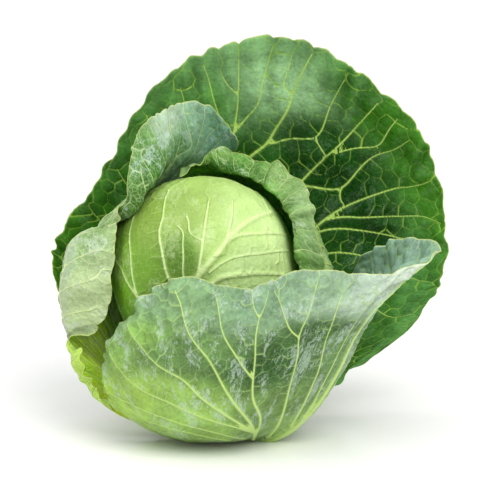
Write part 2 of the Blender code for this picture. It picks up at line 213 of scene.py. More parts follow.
BACK_VEINS = [
    (10.0, 5.0, [(0.55, 0), (0.55, 0.2), (0.56, 0.4)]),
    (4.5, 1.3, [(0.56, 0.38), (0.575, 0.55), (0.58, 0.68), (0.577, 0.745), (0.555, 0.77),
                (0.542, 0.805), (0.53, 0.845), (0.525, 0.88), (0.517, 0.935), (0.508, 0.985)]),
    (1.4, 0.8, [(0.525, 0.885), (0.535, 0.895), (0.533, 0.935), (0.531, 0.965)]),
    (2.0, 0.9, [(0.555, 0.77), (0.535, 0.78), (0.52, 0.79), (0.488, 0.81), (0.478, 0.88),
                (0.473, 0.925), (0.468, 0.965)]),
    (3.4, 1.1, [(0.555, 0.4), (0.53, 0.5), (0.51, 0.62), (0.495, 0.70), (0.48, 0.74),
                (0.465, 0.785), (0.448, 0.84), (0.436, 0.90), (0.426, 0.97)]),
    (1.4, 1.2, [(0.465, 0.785), (0.488, 0.81)]),
    (1.8, 0.9, [(0.455, 0.8), (0.422, 0.85), (0.406, 0.875), (0.401, 0.93), (0.398, 0.975)]),
    (2.4, 0.9, [(0.495, 0.70), (0.46, 0.71), (0.425, 0.735), (0.413, 0.79), (0.397, 0.865),
                (0.384, 0.90), (0.372, 0.96)]),
    (1.6, 1.2, [(0.425, 0.735), (0.415, 0.71), (0.40, 0.705)]),
    (4.0, 1.0, [(0.545, 0.34), (0.50, 0.45), (0.455, 0.56), (0.427, 0.645), (0.401, 0.705),
                (0.366, 0.79), (0.345, 0.85), (0.319, 0.93), (0.312, 0.97)]),
    (2.2, 0.9, [(0.427, 0.645), (0.40, 0.675), (0.368, 0.71), (0.333, 0.77), (0.301, 0.85),
                (0.28, 0.92), (0.262, 0.975)]),
    (2.6, 0.9, [(0.48, 0.52), (0.42, 0.62), (0.36, 0.68), (0.31, 0.745), (0.27, 0.83),
                (0.245, 0.93)]),
    (3.4, 1.0, [(0.57, 0.42), (0.59, 0.5), (0.60, 0.68), (0.601, 0.80), (0.597, 0.83),
                (0.593, 0.885), (0.592, 0.965)]),
    (1.8, 0.9, [(0.601, 0.80), (0.582, 0.83), (0.568, 0.858), (0.563, 0.90), (0.558, 0.94),
                (0.553, 0.98)]),
    (2.0, 0.9, [(0.602, 0.62), (0.605, 0.72), (0.612, 0.80), (0.623, 0.865), (0.627, 0.90),
                (0.63, 0.935), (0.636, 0.98)]),
    (1.2, 0.8, [(0.595, 0.885), (0.61, 0.92), (0.615, 0.95)]),
    (2.4, 0.9, [(0.60, 0.45), (0.64, 0.6), (0.65, 0.7), (0.66, 0.8), (0.665, 0.88), (0.668, 0.95)]),
    (2.4, 0.9, [(0.59, 0.36), (0.66, 0.5), (0.69, 0.6), (0.705, 0.75), (0.715, 0.88),
                (0.72, 0.96)]),
    (2.6, 0.9, [(0.58, 0.28), (0.66, 0.38), (0.72, 0.5), (0.755, 0.65), (0.775, 0.8),
                (0.785, 0.95)]),
    (2.4, 0.9, [(0.66, 0.36), (0.76, 0.5), (0.81, 0.62), (0.84, 0.78), (0.855, 0.93)]),
    (2.4, 0.8, [(0.6, 0.22), (0.7, 0.32), (0.8, 0.45), (0.87, 0.6), (0.91, 0.75), (0.94, 0.92)]),
    (2.8, 0.9, [(0.53, 0.36), (0.44, 0.5), (0.36, 0.6), (0.27, 0.7), (0.21, 0.82),
                (0.185, 0.94)]),
    (2.6, 0.9, [(0.54, 0.28), (0.42, 0.42), (0.3, 0.52), (0.2, 0.64), (0.15, 0.78),
                (0.135, 0.92)]),
    (2.4, 0.8, [(0.54, 0.22), (0.4, 0.36), (0.25, 0.44), (0.13, 0.56), (0.08, 0.72), (0.07, 0.9)]),
]
LEFT_VEINS = [
    (9.0, 5.0, [(0.5, 0), (0.5, 0.2), (0.52, 0.4)]),
    (4.5, 1.0, [(0.52, 0.38), (0.62, 0.45), (0.74, 0.5), (0.755, 0.7), (0.755, 0.81),
                (0.748, 0.88), (0.72, 0.93), (0.735, 0.985)]),
    (2.4, 0.8, [(0.60, 0.45), (0.68, 0.62), (0.70, 0.80), (0.65, 0.89), (0.645, 0.94),
                (0.65, 0.97)]),
    (2.6, 0.8, [(0.55, 0.42), (0.62, 0.6), (0.62, 0.8), (0.59, 0.87), (0.595, 0.92),
                (0.605, 0.975)]),
    (2.6, 0.8, [(0.52, 0.4), (0.54, 0.6), (0.52, 0.85), (0.525, 0.93), (0.55, 0.96)]),
    (2.0, 0.8, [(0.755, 0.78), (0.79, 0.83), (0.83, 0.85), (0.816, 0.885), (0.797, 0.93),
                (0.79, 0.99)]),
    (2.0, 0.8, [(0.75, 0.6), (0.82, 0.7), (0.865, 0.83), (0.888, 0.875), (0.915, 0.93)]),
    (2.0, 0.8, [(0.72, 0.5), (0.82, 0.62), (0.895, 0.79), (0.94, 0.85), (0.97, 0.93)]),
    (1.5, 0.7, [(0.57, 0.45), (0.65, 0.62), (0.665, 0.8), (0.675, 0.89), (0.685, 0.97)]),
    (1.5, 0.7, [(0.66, 0.47), (0.725, 0.62), (0.725, 0.8), (0.70, 0.9)]),
    (1.5, 0.7, [(0.75, 0.72), (0.775, 0.82), (0.775, 0.9), (0.765, 0.97)]),
    (1.5, 0.7, [(0.78, 0.68), (0.835, 0.8), (0.855, 0.88), (0.865, 0.96)]),
    (1.4, 0.7, [(0.80, 0.64), (0.87, 0.77), (0.905, 0.84), (0.945, 0.92)]),
    (1.4, 0.7, [(0.78, 0.55), (0.88, 0.7), (0.93, 0.79), (0.98, 0.87)]),
    (1.4, 0.7, [(0.56, 0.5), (0.585, 0.7), (0.57, 0.85), (0.565, 0.95)]),
    (2.4, 0.9, [(0.47, 0.5), (0.43, 0.66), (0.38, 0.80), (0.33, 0.79), (0.27, 0.78), (0.20, 0.77),
                (0.13, 0.78), (0.07, 0.82), (0.02, 0.90)]),
    (2.4, 0.8, [(0.47, 0.4), (0.44, 0.6), (0.42, 0.8), (0.42, 0.95)]),
    (2.4, 0.8, [(0.48, 0.32), (0.40, 0.45), (0.35, 0.62), (0.34, 0.8), (0.34, 0.95)]),
    (2.4, 0.8, [(0.46, 0.28), (0.34, 0.42), (0.28, 0.58), (0.27, 0.76), (0.27, 0.94)]),
    (2.4, 0.8, [(0.44, 0.24), (0.3, 0.38), (0.21, 0.55), (0.20, 0.75), (0.2, 0.94)]),
    (2.4, 0.8, [(0.4, 0.2), (0.22, 0.36), (0.14, 0.52), (0.12, 0.74), (0.12, 0.94)]),
    (2.2, 0.8, [(0.34, 0.18), (0.15, 0.34), (0.07, 0.5), (0.05, 0.72), (0.05, 0.92)]),
]
CURLED_VEINS = [
    (8.0, 3.0, [(0.5, 0), (0.5, 0.2), (0.5, 0.45)]),
    (3.0, 0.9, [(0.5, 0.4), (0.505, 0.6), (0.495, 0.8), (0.505, 0.9), (0.5, 0.98)]),
] + [
    (2.6, 0.8, [(0.5 + (u - 0.5) * 0.35, 0.25), (0.5 + (u - 0.5) * 0.8, 0.5), (u - 0.006, 0.72),
                (u + 0.006, 0.85), (u - 0.004, 0.92), (u, 0.98)])
    for u in (0.05, 0.13, 0.2, 0.27, 0.34, 0.42, 0.58, 0.66, 0.74, 0.82, 0.9, 0.96)
]
LOWER_LEFT_VEINS = [
    (5.0, 1.2, [(0.4, 0), (0.4, 0.4), (0.42, 0.7), (0.4, 0.96)]),
    (2.0, 0.8, [(0.4, 0.3), (0.2, 0.55), (0.12, 0.8), (0.1, 0.96)]),
    (2.0, 0.8, [(0.4, 0.35), (0.6, 0.6), (0.68, 0.8), (0.7, 0.96)]),
    (1.6, 0.8, [(0.5, 0.3), (0.8, 0.55), (0.9, 0.8), (0.92, 0.96)]),
]
# Main veins of the head's wrapper leaf: turn from the right and height from the base, in degrees.
HEAD_VEINS = [
    (7.0, 3.0, [(262, 20), (260, 50), (262, 75), (265, 90), (271, 98), (285, 108.5), (296, 116),
                (307, 120), (318, 122), (330, 122), (343, 120.5)]),
    (2.6, 1.2, [(270, 98), (275.5, 112.5), (279, 121), (284, 131), (292, 142)]),
    (2.0, 1.0, [(292, 113.5), (296, 119), (303, 127), (309, 133), (314, 138)]),
    (2.6, 1.2, [(292, 113.5), (302, 115.5), (310, 114.5), (318, 112.5), (334, 108), (350, 103)]),
    (1.6, 1.0, [(277, 98), (288.5, 102.5), (300, 103), (309, 101.5), (328, 98), (345, 94)]),
    (4.0, 1.6, [(262, 80), (272, 88), (282, 93), (296, 92), (305, 90.5), (314, 88), (330, 83)]),
    (3.2, 1.2, [(259, 70), (255, 88), (251, 100), (249.5, 114), (247, 128.5), (247.5, 136),
                (243, 150), (235, 163)]),
    (1.8, 1.0, [(262, 92), (261, 99), (263, 110), (264, 118), (265, 124), (261, 129.5)]),
    (1.4, 1.0, [(269, 135), (270, 130), (269.5, 124.5), (276.5, 117.5)]),
    (3.4, 1.2, [(256, 50), (238, 60), (231, 80), (228, 90), (226, 100), (223, 115), (219, 123),
                (212, 138)]),
    (2.4, 1.0, [(231, 80), (226, 91), (219, 99), (213, 106), (199, 111), (185, 113)]),
    (3.0, 1.0, [(250, 40), (215, 52), (200, 70), (190, 90), (175, 105)]),
    (3.0, 1.0, [(270, 45), (300, 55), (320, 65), (345, 72), (360, 78)]),
]


def smooth(x):
    """Smooth ramp from 0 to 1."""
    x = np.clip(x, 0.0, 1.0)
    return x * x * (3 - 2 * x)


def cardinal(knots, where):
    """Natural cubic spline as weights on its knots: one row of weights for each value in where."""
    count = len(knots)
    step = np.diff(knots)
    system = np.eye(count)
    right = np.zeros((count, count))
    for i in range(1, count - 1):
        system[i, i - 1] = step[i - 1]
        system[i, i] = 2 * (step[i - 1] + step[i])
        system[i, i + 1] = step[i]
        right[i, i - 1] = 6 / step[i - 1]
        right[i, i + 1] = 6 / step[i]
        right[i, i] = -right[i, i - 1] - right[i, i + 1]
    bend = np.linalg.solve(system, right)
    unit = np.eye(count)
    k = np.clip(np.searchsorted(knots, where, side="right") - 1, 0, count - 2)
    h = step[k][..., None]
    a = (knots[k + 1] - where)[..., None] / h
    b = 1.0 - a
    curved = (a**3 - a) * bend[k] + (b**3 - b) * bend[k + 1]
    return a * unit[k] + b * unit[k + 1] + curved * h**2 / 6


def knots_of(net):
    """Spacing of the rows of a net by the square root of their mean distance apart."""
    gap = np.sqrt(np.linalg.norm(np.diff(net, axis=0), axis=-1).mean(axis=1))
    along = np.concatenate([[0.0], np.cumsum(gap)])
    return along / along[-1]


def rib_surface(ribs, u, v):
    """Smooth surface through the ribs at places u across them and v (one row per u) along them."""
    net = np.asarray(ribs, float)
    across = np.einsum("ik,kjc->ijc", cardinal(knots_of(net), u), net)
    along = cardinal(knots_of(net.transpose(1, 0, 2)), v)
    return np.einsum("imj,ijc->imc", along, across)


def curve(points, spacing):
    """Natural spline through points (any dimension), read about every spacing mm."""
    points = np.asarray(points, float)
    if len(points) == 2:
        points = np.insert(points, 1, points.mean(axis=0), axis=0)
    length = np.concatenate([[0.0], np.cumsum(np.linalg.norm(np.diff(points, axis=0), axis=1))])
    count = max(3, int(length[-1] / spacing) + 1)
    return cardinal(length, np.linspace(0, length[-1], count)) @ points


def ripples(place, wavelength, seed, count=14):
    """Smooth random field between about -1 and 1: a mean of plane waves in random directions."""
    draw = np.random.default_rng(seed)
    size = place.shape[-1]
    heading = draw.normal(size=(count, size))
    heading /= np.linalg.norm(heading, axis=1, keepdims=True)
    heading *= 2 * np.pi / (wavelength * draw.uniform(0.7, 1.5, size=(count, 1)))
    phase = draw.uniform(0, 2 * np.pi, size=count)
    return np.cos(place @ heading.T + phase).sum(axis=-1) * np.sqrt(2.0 / count) * 0.6


def normals_of(grid):
    """Unit normals of a grid of points."""
    normal = np.cross(np.gradient(grid, axis=0), np.gradient(grid, axis=1))
    return normal / np.maximum(np.linalg.norm(normal, axis=-1, keepdims=True), 1e-9)


def lay_flat(grid):
    """Leaf spread flat as a fan: length along the rib is the radius, and the angle from one rib to
    the next is their mean distance apart over their mean radius."""
    step = np.linalg.norm(np.diff(grid, axis=1), axis=-1)
    radius = np.concatenate([np.zeros((len(grid), 1)), np.cumsum(step, axis=1)], axis=1) + CROWN
    gap = np.linalg.norm(np.diff(grid, axis=0), axis=-1)
    outer = slice(int(grid.shape[1] * 0.35), None)
    turn = (gap[:, outer] / (0.5 * (radius[1:] + radius[:-1])[:, outer])).mean(axis=1)
    angle = np.concatenate([[0.0], np.cumsum(turn)])[:, None]
    return np.stack([radius * np.cos(angle), radius * np.sin(angle)], axis=-1), radius, angle[:, 0]


def look_up(table, u, v):
    """Values of a grid table at fractions u and v, by straight-line interpolation."""
    i = np.clip(np.asarray(u) * (table.shape[0] - 1), 0, table.shape[0] - 1.001)
    j = np.clip(np.asarray(v) * (table.shape[1] - 1), 0, table.shape[1] - 1.001)
    a = i.astype(int)
    b = j.astype(int)
    s = (i - a)[..., None]
    t = (j - b)[..., None]
    return ((table[a, b] * (1 - s) + table[a + 1, b] * s) * (1 - t)
            + (table[a, b + 1] * (1 - s) + table[a + 1, b + 1] * s) * t)


def nearest_vein(points, starts, ends, widths, strengths=None):
    """For every point: the offset to the nearest point of a vein, that vein's width, the distance
    and the vein's strength. Points are taken cell by cell, each with only the veins in reach."""
    if strengths is None:
        strengths = np.ones(len(widths))
    strength = np.zeros(len(points))
    offset = np.full(points.shape, FAR)
    width = np.ones(len(points))
    away = np.full(len(points), FAR)
    middle = (starts + ends) / 2
    half = np.linalg.norm(ends - starts, axis=1) / 2
    cell = np.floor(points / CELL).astype(int)
    cells, member = np.unique(cell, axis=0, return_inverse=True)
    order = np.argsort(member.ravel(), kind="stable")
    groups = np.split(order, np.cumsum(np.bincount(member.ravel()))[:-1])
    for key, group in zip(cells, groups):
        centre = (key + 0.5) * CELL
        near = np.linalg.norm(middle - centre, axis=1) < half + CELL * 1.7
        if not near.any():
            continue
        a = starts[near]
        ab = ends[near] - a
        ap = points[group][:, None] - a
        t = np.clip((ap * ab).sum(-1) / np.maximum((ab * ab).sum(-1), 1e-9), 0, 1)
        gap = t[..., None] * ab - ap
        distance = np.linalg.norm(gap, axis=-1)
        best = np.argmin(distance - 0.4 * widths[near], axis=1)
        row = np.arange(len(group))
        offset[group] = gap[row, best]
        width[group] = widths[near][best]
        away[group] = distance[row, best]
        strength[group] = strengths[near][best]
    return offset, width, away, strength


def guides_to_segments(lines, rng):
    """Main veins as smooth lines with a small wander, cut into short straight pieces."""
    starts, ends, widths, paths = [], [], [], []
    for first, last, points in lines:
        path = curve(points, GUIDE_STEP)
        drift = np.cumsum(rng.normal(size=path.shape), axis=0)
        drift -= np.linspace(0, 1, len(path))[:, None] * drift[-1]
        path = path + drift * 0.25 / max(1.0, np.abs(drift).max())
        width = np.linspace(first, last, len(path))
        starts.append(path[:-1])
        ends.append(path[1:])
        widths.append((width[:-1] + width[1:]) / 2)
        paths.append(path)
    return np.concatenate(starts), np.concatenate(ends), np.concatenate(widths), paths


def dual_net(seeds, triangles):
    """Net whose meshes surround the seeds: one knot inside each triangle, joined across its sides."""
    knots = seeds[triangles].mean(axis=1)
    sides = {}
    links = []
    for index, triangle in enumerate(triangles.tolist()):
        for a, b in zip(triangle, triangle[1:] + triangle[:1]):
            key = (min(a, b), max(a, b))
            if key in sides:
                links.append((sides[key], index))
            else:
                sides[key] = index
    return knots, np.array(links)


def grow(knots, links, on_guide, root, rng):
    """Share of the leaf that each link feeds: shortest ways from the root along the net, where a
    step on a main vein is cheap, give a tree, and every knot adds one to the links on its way."""
    length = np.linalg.norm(knots[links[:, 0]] - knots[links[:, 1]], axis=1)
    easy = on_guide[links[:, 0]] & on_guide[links[:, 1]]
    cost = length * np.where(easy, 0.22, 1.0) * rng.uniform(0.8, 1.35, size=len(links))
    ways = [[] for _ in knots]
    for index, (a, b) in enumerate(links.tolist()):
        ways[a].append((b, index))
        ways[b].append((a, index))
    best = np.full(len(knots), np.inf)
    came = np.full(len(knots), -1)
    parent = np.full(len(knots), -1)
    best[root] = 0.0
    queue = [(0.0, int(root))]
    order = []
    done = set()
    while queue:
        reached, knot = heapq.heappop(queue)
        if knot in done:
            continue
        done.add(knot)
        order.append(knot)
        for other, index in ways[knot]:
            total = reached + cost[index]
            if total < best[other]:
                best[other] = total
                came[other] = index
                parent[other] = knot
                heapq.heappush(queue, (total, other))
    flow = np.ones(len(knots))
    share = np.zeros(len(links))
    for knot in reversed(order):
        if parent[knot] >= 0:
            share[came[knot]] = flow[knot]
            flow[parent[knot]] += flow[knot]
    return share, easy


def vein_fields(points, guides, sow, triangulate, root_place, mesh_size, seed):
    """Offset, width, distance and strength of the nearest main vein and of the nearest line of the
    finer net, at every point. sow gives the net's seeds, and triangulate joins them."""
    rng = np.random.default_rng(seed)
    starts, ends, widths, paths = guides_to_segments(guides, rng)
    main = nearest_vein(points, starts, ends, widths)
    # The narrow wedge where two veins part is filled, as they are webbed together there.
    to_vein, _, gap, _ = main
    beyond = nearest_vein(points - to_vein, starts, ends, widths)[2]
    webbed = (beyond < 1.9 * gap) & (beyond + 2 * gap < WEB)
    to_vein[webbed] = 0.0
    gap[webbed] = 0.0
    seeds = sow(starts, ends, widths, paths, rng)
    knots, links = dual_net(seeds, triangulate(seeds))
    pull, _, away, _ = nearest_vein(knots, starts, ends, widths)
    on_guide = away < SNAP * mesh_size
    knots = np.where(on_guide[:, None], knots + pull, knots)
    root = np.argmin(np.linalg.norm(knots - root_place, axis=1))
    share, easy = grow(knots, links, on_guide, root, rng)
    length = np.linalg.norm(knots[links[:, 0]] - knots[links[:, 1]], axis=1)
    rung = on_guide[links].all(axis=1) & (length < 0.6 * mesh_size)
    keep = ~easy & ~rung & (length < 4 * mesh_size)
    links = links[keep]
    share = share[keep]
    width = 0.8 + 0.34 * np.minimum(share, 30.0) ** 0.42
    strength = 0.30 + 0.70 * smooth(share / 4.0)
    net = nearest_vein(points, knots[links[:, 0]], knots[links[:, 1]], width, strength)
    return main, net


def flank_seeds(loose, across_vein, mesh_size):
    """Sower of a net's seeds: loose ones away from main veins, and pairs on both sides of each
    vein, so that the net's meshes line up along it."""
    flank = FLANK * mesh_size
    step = max(1, int(round(mesh_size * 0.85 / GUIDE_STEP)))

    def sow(starts, ends, widths, paths, rng):
        away = nearest_vein(loose, starts, ends, widths)[2]
        sown = []
        for number, path in enumerate(paths):
            others = [p for k, p in enumerate(paths) if k != number]
            start = np.concatenate([p[:-1] for p in others])
            end = np.concatenate([p[1:] for p in others])
            spots = path[step // 2::step]
            across = across_vein(spots, np.gradient(path, axis=0)[step // 2::step])
            across /= np.maximum(np.linalg.norm(across, axis=1, keepdims=True), 1e-9)
            for sign in (-1, 1):
                beside = spots + across * sign * (flank + rng.uniform(-0.3, 0.5, (len(spots), 1)))
                clear = nearest_vein(beside, start, end, np.ones(len(start)))[2]
                sown.append(beside[clear > flank * 0.8])
        sown.append(loose[away > flank * 1.55])
        return thin_out(np.concatenate(sown), mesh_size * 0.6)
    return sow


def across_flat(spots, along):
    """Directions across a vein on the flat leaf."""
    return np.stack([-along[:, 1], along[:, 0]], axis=1)


def across_ball(spots, along):
    """Directions across a vein on the head."""
    return np.cross(along, spots)


def leaf_seeds(radius, angle, mesh_size, rng):
    """Loose seeds on the flat leaf: a shaken pattern of offset rows, cut off just past the margin."""
    reach = radius[:, -1].max() + 14
    across = np.arange(-reach, reach, mesh_size)
    loose = np.stack(np.meshgrid(across, across), axis=-1).reshape(-1, 2)
    loose = loose + rng.uniform(-0.42, 0.42, loose.shape) * mesh_size
    loose[:, 0] += (np.floor(loose[:, 1] / mesh_size) % 2) * mesh_size * 0.5
    out = np.linalg.norm(loose, axis=1)
    turn = np.arctan2(loose[:, 1], loose[:, 0]) % (2 * np.pi)
    limit = np.interp(turn, angle, radius[:, -1], left=0, right=0)
    return loose[(out < limit + 12) & (out > CROWN) & (turn < angle[-1] + 0.1)]


def head_seeds(mesh_size, rng):
    """Loose seeds on the head: even steps along a golden spiral from pole to pole, shaken."""
    count = int(4 * np.pi * HEAD_RADIUS**2 / mesh_size**2)
    n = np.arange(count) + 0.5
    z = 1 - 2 * n / count
    t = np.pi * (1 + 5**0.5) * n
    loose = np.stack([np.sqrt(1 - z * z) * np.cos(t), np.sqrt(1 - z * z) * np.sin(t), z], axis=1)
    loose = loose * HEAD_RADIUS + rng.normal(size=(count, 3)) * mesh_size * 0.24
    return loose * (HEAD_RADIUS / np.linalg.norm(loose, axis=1, keepdims=True))


def thin_out(points, least):
    """Drops each point that lies closer than least to an earlier one."""
    kept = []
    seen = {}
    for index, point in enumerate(points):
        key = tuple(np.floor(point / least).astype(int))
        around = np.array(np.meshgrid(*[[-1, 0, 1]] * len(key))).reshape(len(key), -1).T
        close = [seen[n] for n in map(tuple, around + key) if n in seen]
        if all(np.linalg.norm(points[c] - point) > least for c in close):
            seen[key] = index
            kept.append(index)
    return points[kept]


def flat_triangles(seeds):
    """Delaunay triangles of flat points."""
    found = delaunay_2d_cdt([Vector(p) for p in seeds.tolist()], [], [], 0, 1e-5)
    return np.array([list(face) for face in found[2] if len(face) == 3])


def hull_triangles(seeds):
    """Delaunay triangles of points on a ball, from their convex hull."""
    mesh = bmesh.new()
    for point in seeds.tolist():
        mesh.verts.new(point)
    mesh.verts.ensure_lookup_table()
    mesh.verts.index_update()
    bmesh.ops.convex_hull(mesh, input=mesh.verts)
    bmesh.ops.triangulate(mesh, faces=mesh.faces[:])
    triangles = np.array([[v.index for v in face.verts] for face in mesh.faces])
    mesh.free()
    return triangles


def add_piece(name, points, faces, values, charts, material):
    """Mesh object at the origin with smooth faces, the given point attributes (one table of
    vectors each) and a bake map whose corners are charts; points are in mm."""
    mesh = bpy.data.meshes.new(name)
    mesh.from_pydata((points * MM).tolist(), [], faces)
    mesh.shade_smooth()
    for key, table in values.items():
        table = np.ascontiguousarray(table, dtype=np.float32)
        layer = mesh.attributes.new(key, "FLOAT_VECTOR", "POINT")
        layer.data.foreach_set("vector", table.ravel())
    bake = mesh.uv_layers.new(name="OFBake")
    bake.data.foreach_set("uv", np.ascontiguousarray(charts, dtype=np.float32).ravel())
    mesh.materials.append(material)
    piece = bpy.data.objects.new(name + "_surface", mesh)
    bpy.context.scene.collection.objects.link(piece)
    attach(piece, "root")
    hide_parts(name)


def sheet_faces(u, v):
    """Faces of a closed sheet (underside, upper side, then the strip round its rim), and their bake
    map: the two sides next to each other, the strip above them."""
    index = np.arange(v.size).reshape(v.shape)
    quads = np.stack([index[:-1, :-1], index[:-1, 1:], index[1:, 1:], index[1:, :-1]], axis=-1)
    quads = quads.reshape(-1, 4)
    loop = np.concatenate([index[:, 0], index[-1, 1:], index[-2::-1, -1], index[0, -2:0:-1]])
    after = np.roll(loop, -1)
    rim = np.stack([loop, after, after + v.size, loop + v.size], axis=-1)
    faces = np.concatenate([quads, quads[:, ::-1] + v.size, rim])
    chart = np.stack([u * 0.47 + 0.01, v * 0.94 + 0.01], axis=-1).reshape(-1, 2)
    t = np.linspace(0, 1, len(loop) + 1)
    strip = np.stack([np.stack([t[:-1], t[1:], t[1:], t[:-1]], axis=1) * 0.98 + 0.01,
                      np.tile([0.965, 0.965, 0.985, 0.985], (len(loop), 1))], axis=-1)
    return faces, np.concatenate([chart[quads], chart[quads[:, ::-1]] + [0.5, 0.0], strip])


def barrel_faces(turns, rings):
    """Faces of a closed barrel: quads round it, then a fan to a point at its foot and at its top."""
    index = np.arange(turns * rings).reshape(turns, rings)
    index = np.concatenate([index, index[:1]])
    quads = np.stack([index[:-1, :-1], index[1:, :-1], index[1:, 1:], index[:-1, 1:]], axis=-1)
    foot = np.stack([index[1:, 0], index[:-1, 0], np.full(turns, turns * rings)], axis=1)
    top = np.stack([index[:-1, -1], index[1:, -1], np.full(turns, turns * rings + 1)], axis=1)
    return quads.reshape(-1, 4).tolist() + foot.tolist() + top.tolist()


def barrel_chart(turns, levels):
    """Bake map of a barrel's quads: the turn across, and the given levels upwards."""
    turn = np.linspace(0, 1, turns + 1)
    across = np.stack([turn[:-1], turn[1:], turn[1:], turn[:-1]], axis=1)[:, None, :]
    upwards = np.stack([levels[:-1], levels[:-1], levels[1:], levels[1:]], axis=1)[None, :, :]
    return np.stack(np.broadcast_arrays(across, upwards), axis=-1).reshape(-1, 2)


def outline(u, ends, length, depth, rng):
    """How far the margin is drawn in at each u, as a share of the rib: lobes bulge between the
    ends of the main veins, and small teeth run along them."""
    ends = np.unique(np.concatenate([[0.0], np.sort(ends), [1.0]]))
    deep = rng.uniform(0.5, 1.2, len(ends)) * depth
    k = np.clip(np.searchsorted(ends, u, side="right") - 1, 0, len(ends) - 2)
    t = (u - ends[k]) / (ends[k + 1] - ends[k])
    level = deep[k] * (1 - t) + deep[k + 1] * t
    bulge = np.sin(np.pi * np.clip(t, 0, 1)) ** 0.55
    teeth = 0.5 + 0.5 * ripples((u * length)[:, None], 7.0, 5)
    return level * (1 - bulge) + 0.5 * teeth - 0.6 * depth


def blend(gap, colours):
    """Mean of colours, weighted by how near each is: 1 / (squared gap + 0.12)^2."""
    weight = 1.0 / (gap + 0.12) ** 2
    return (weight[..., None] * colours).sum(axis=-2) / weight.sum(axis=-1, keepdims=True)


def leaf_tint(u, v, anchors):
    """Colour at (u, v) from the colours at a few places on the leaf, painted light and shade included.
    """
    anchors = np.asarray(anchors, float)
    gap = ((u[..., None] - anchors[:, 0]) / 0.11) ** 2 + ((v[..., None] - anchors[:, 1]) / 0.09) ** 2
    return blend(gap, anchors[:, 2:]).reshape(-1, 3)


def head_tint(turn, polar):
    """Colour over the head, painted light and shade included, from the colours at a few places, by the
    angle between them.
    """
    anchors = np.array(HEAD_TONES, float)
    a, b = turn[..., None], polar[..., None]
    c, d = np.radians(anchors[:, 0]), np.radians(anchors[:, 1])
    same = np.cos(b) * np.cos(d) + np.sin(b) * np.sin(d) * np.cos(a - c)
    gap = np.arccos(np.clip(same, -1, 1)) / np.radians(20)
    return blend(gap**2, anchors[:, 2:]).reshape(-1, 3)


def both_sides(table):
    """Rows for a leaf's two sides: the same ones twice, filled up to three values each."""
    table = np.pad(table, ((0, 0), (0, 3 - table.shape[1])))
    return np.concatenate([table, table])


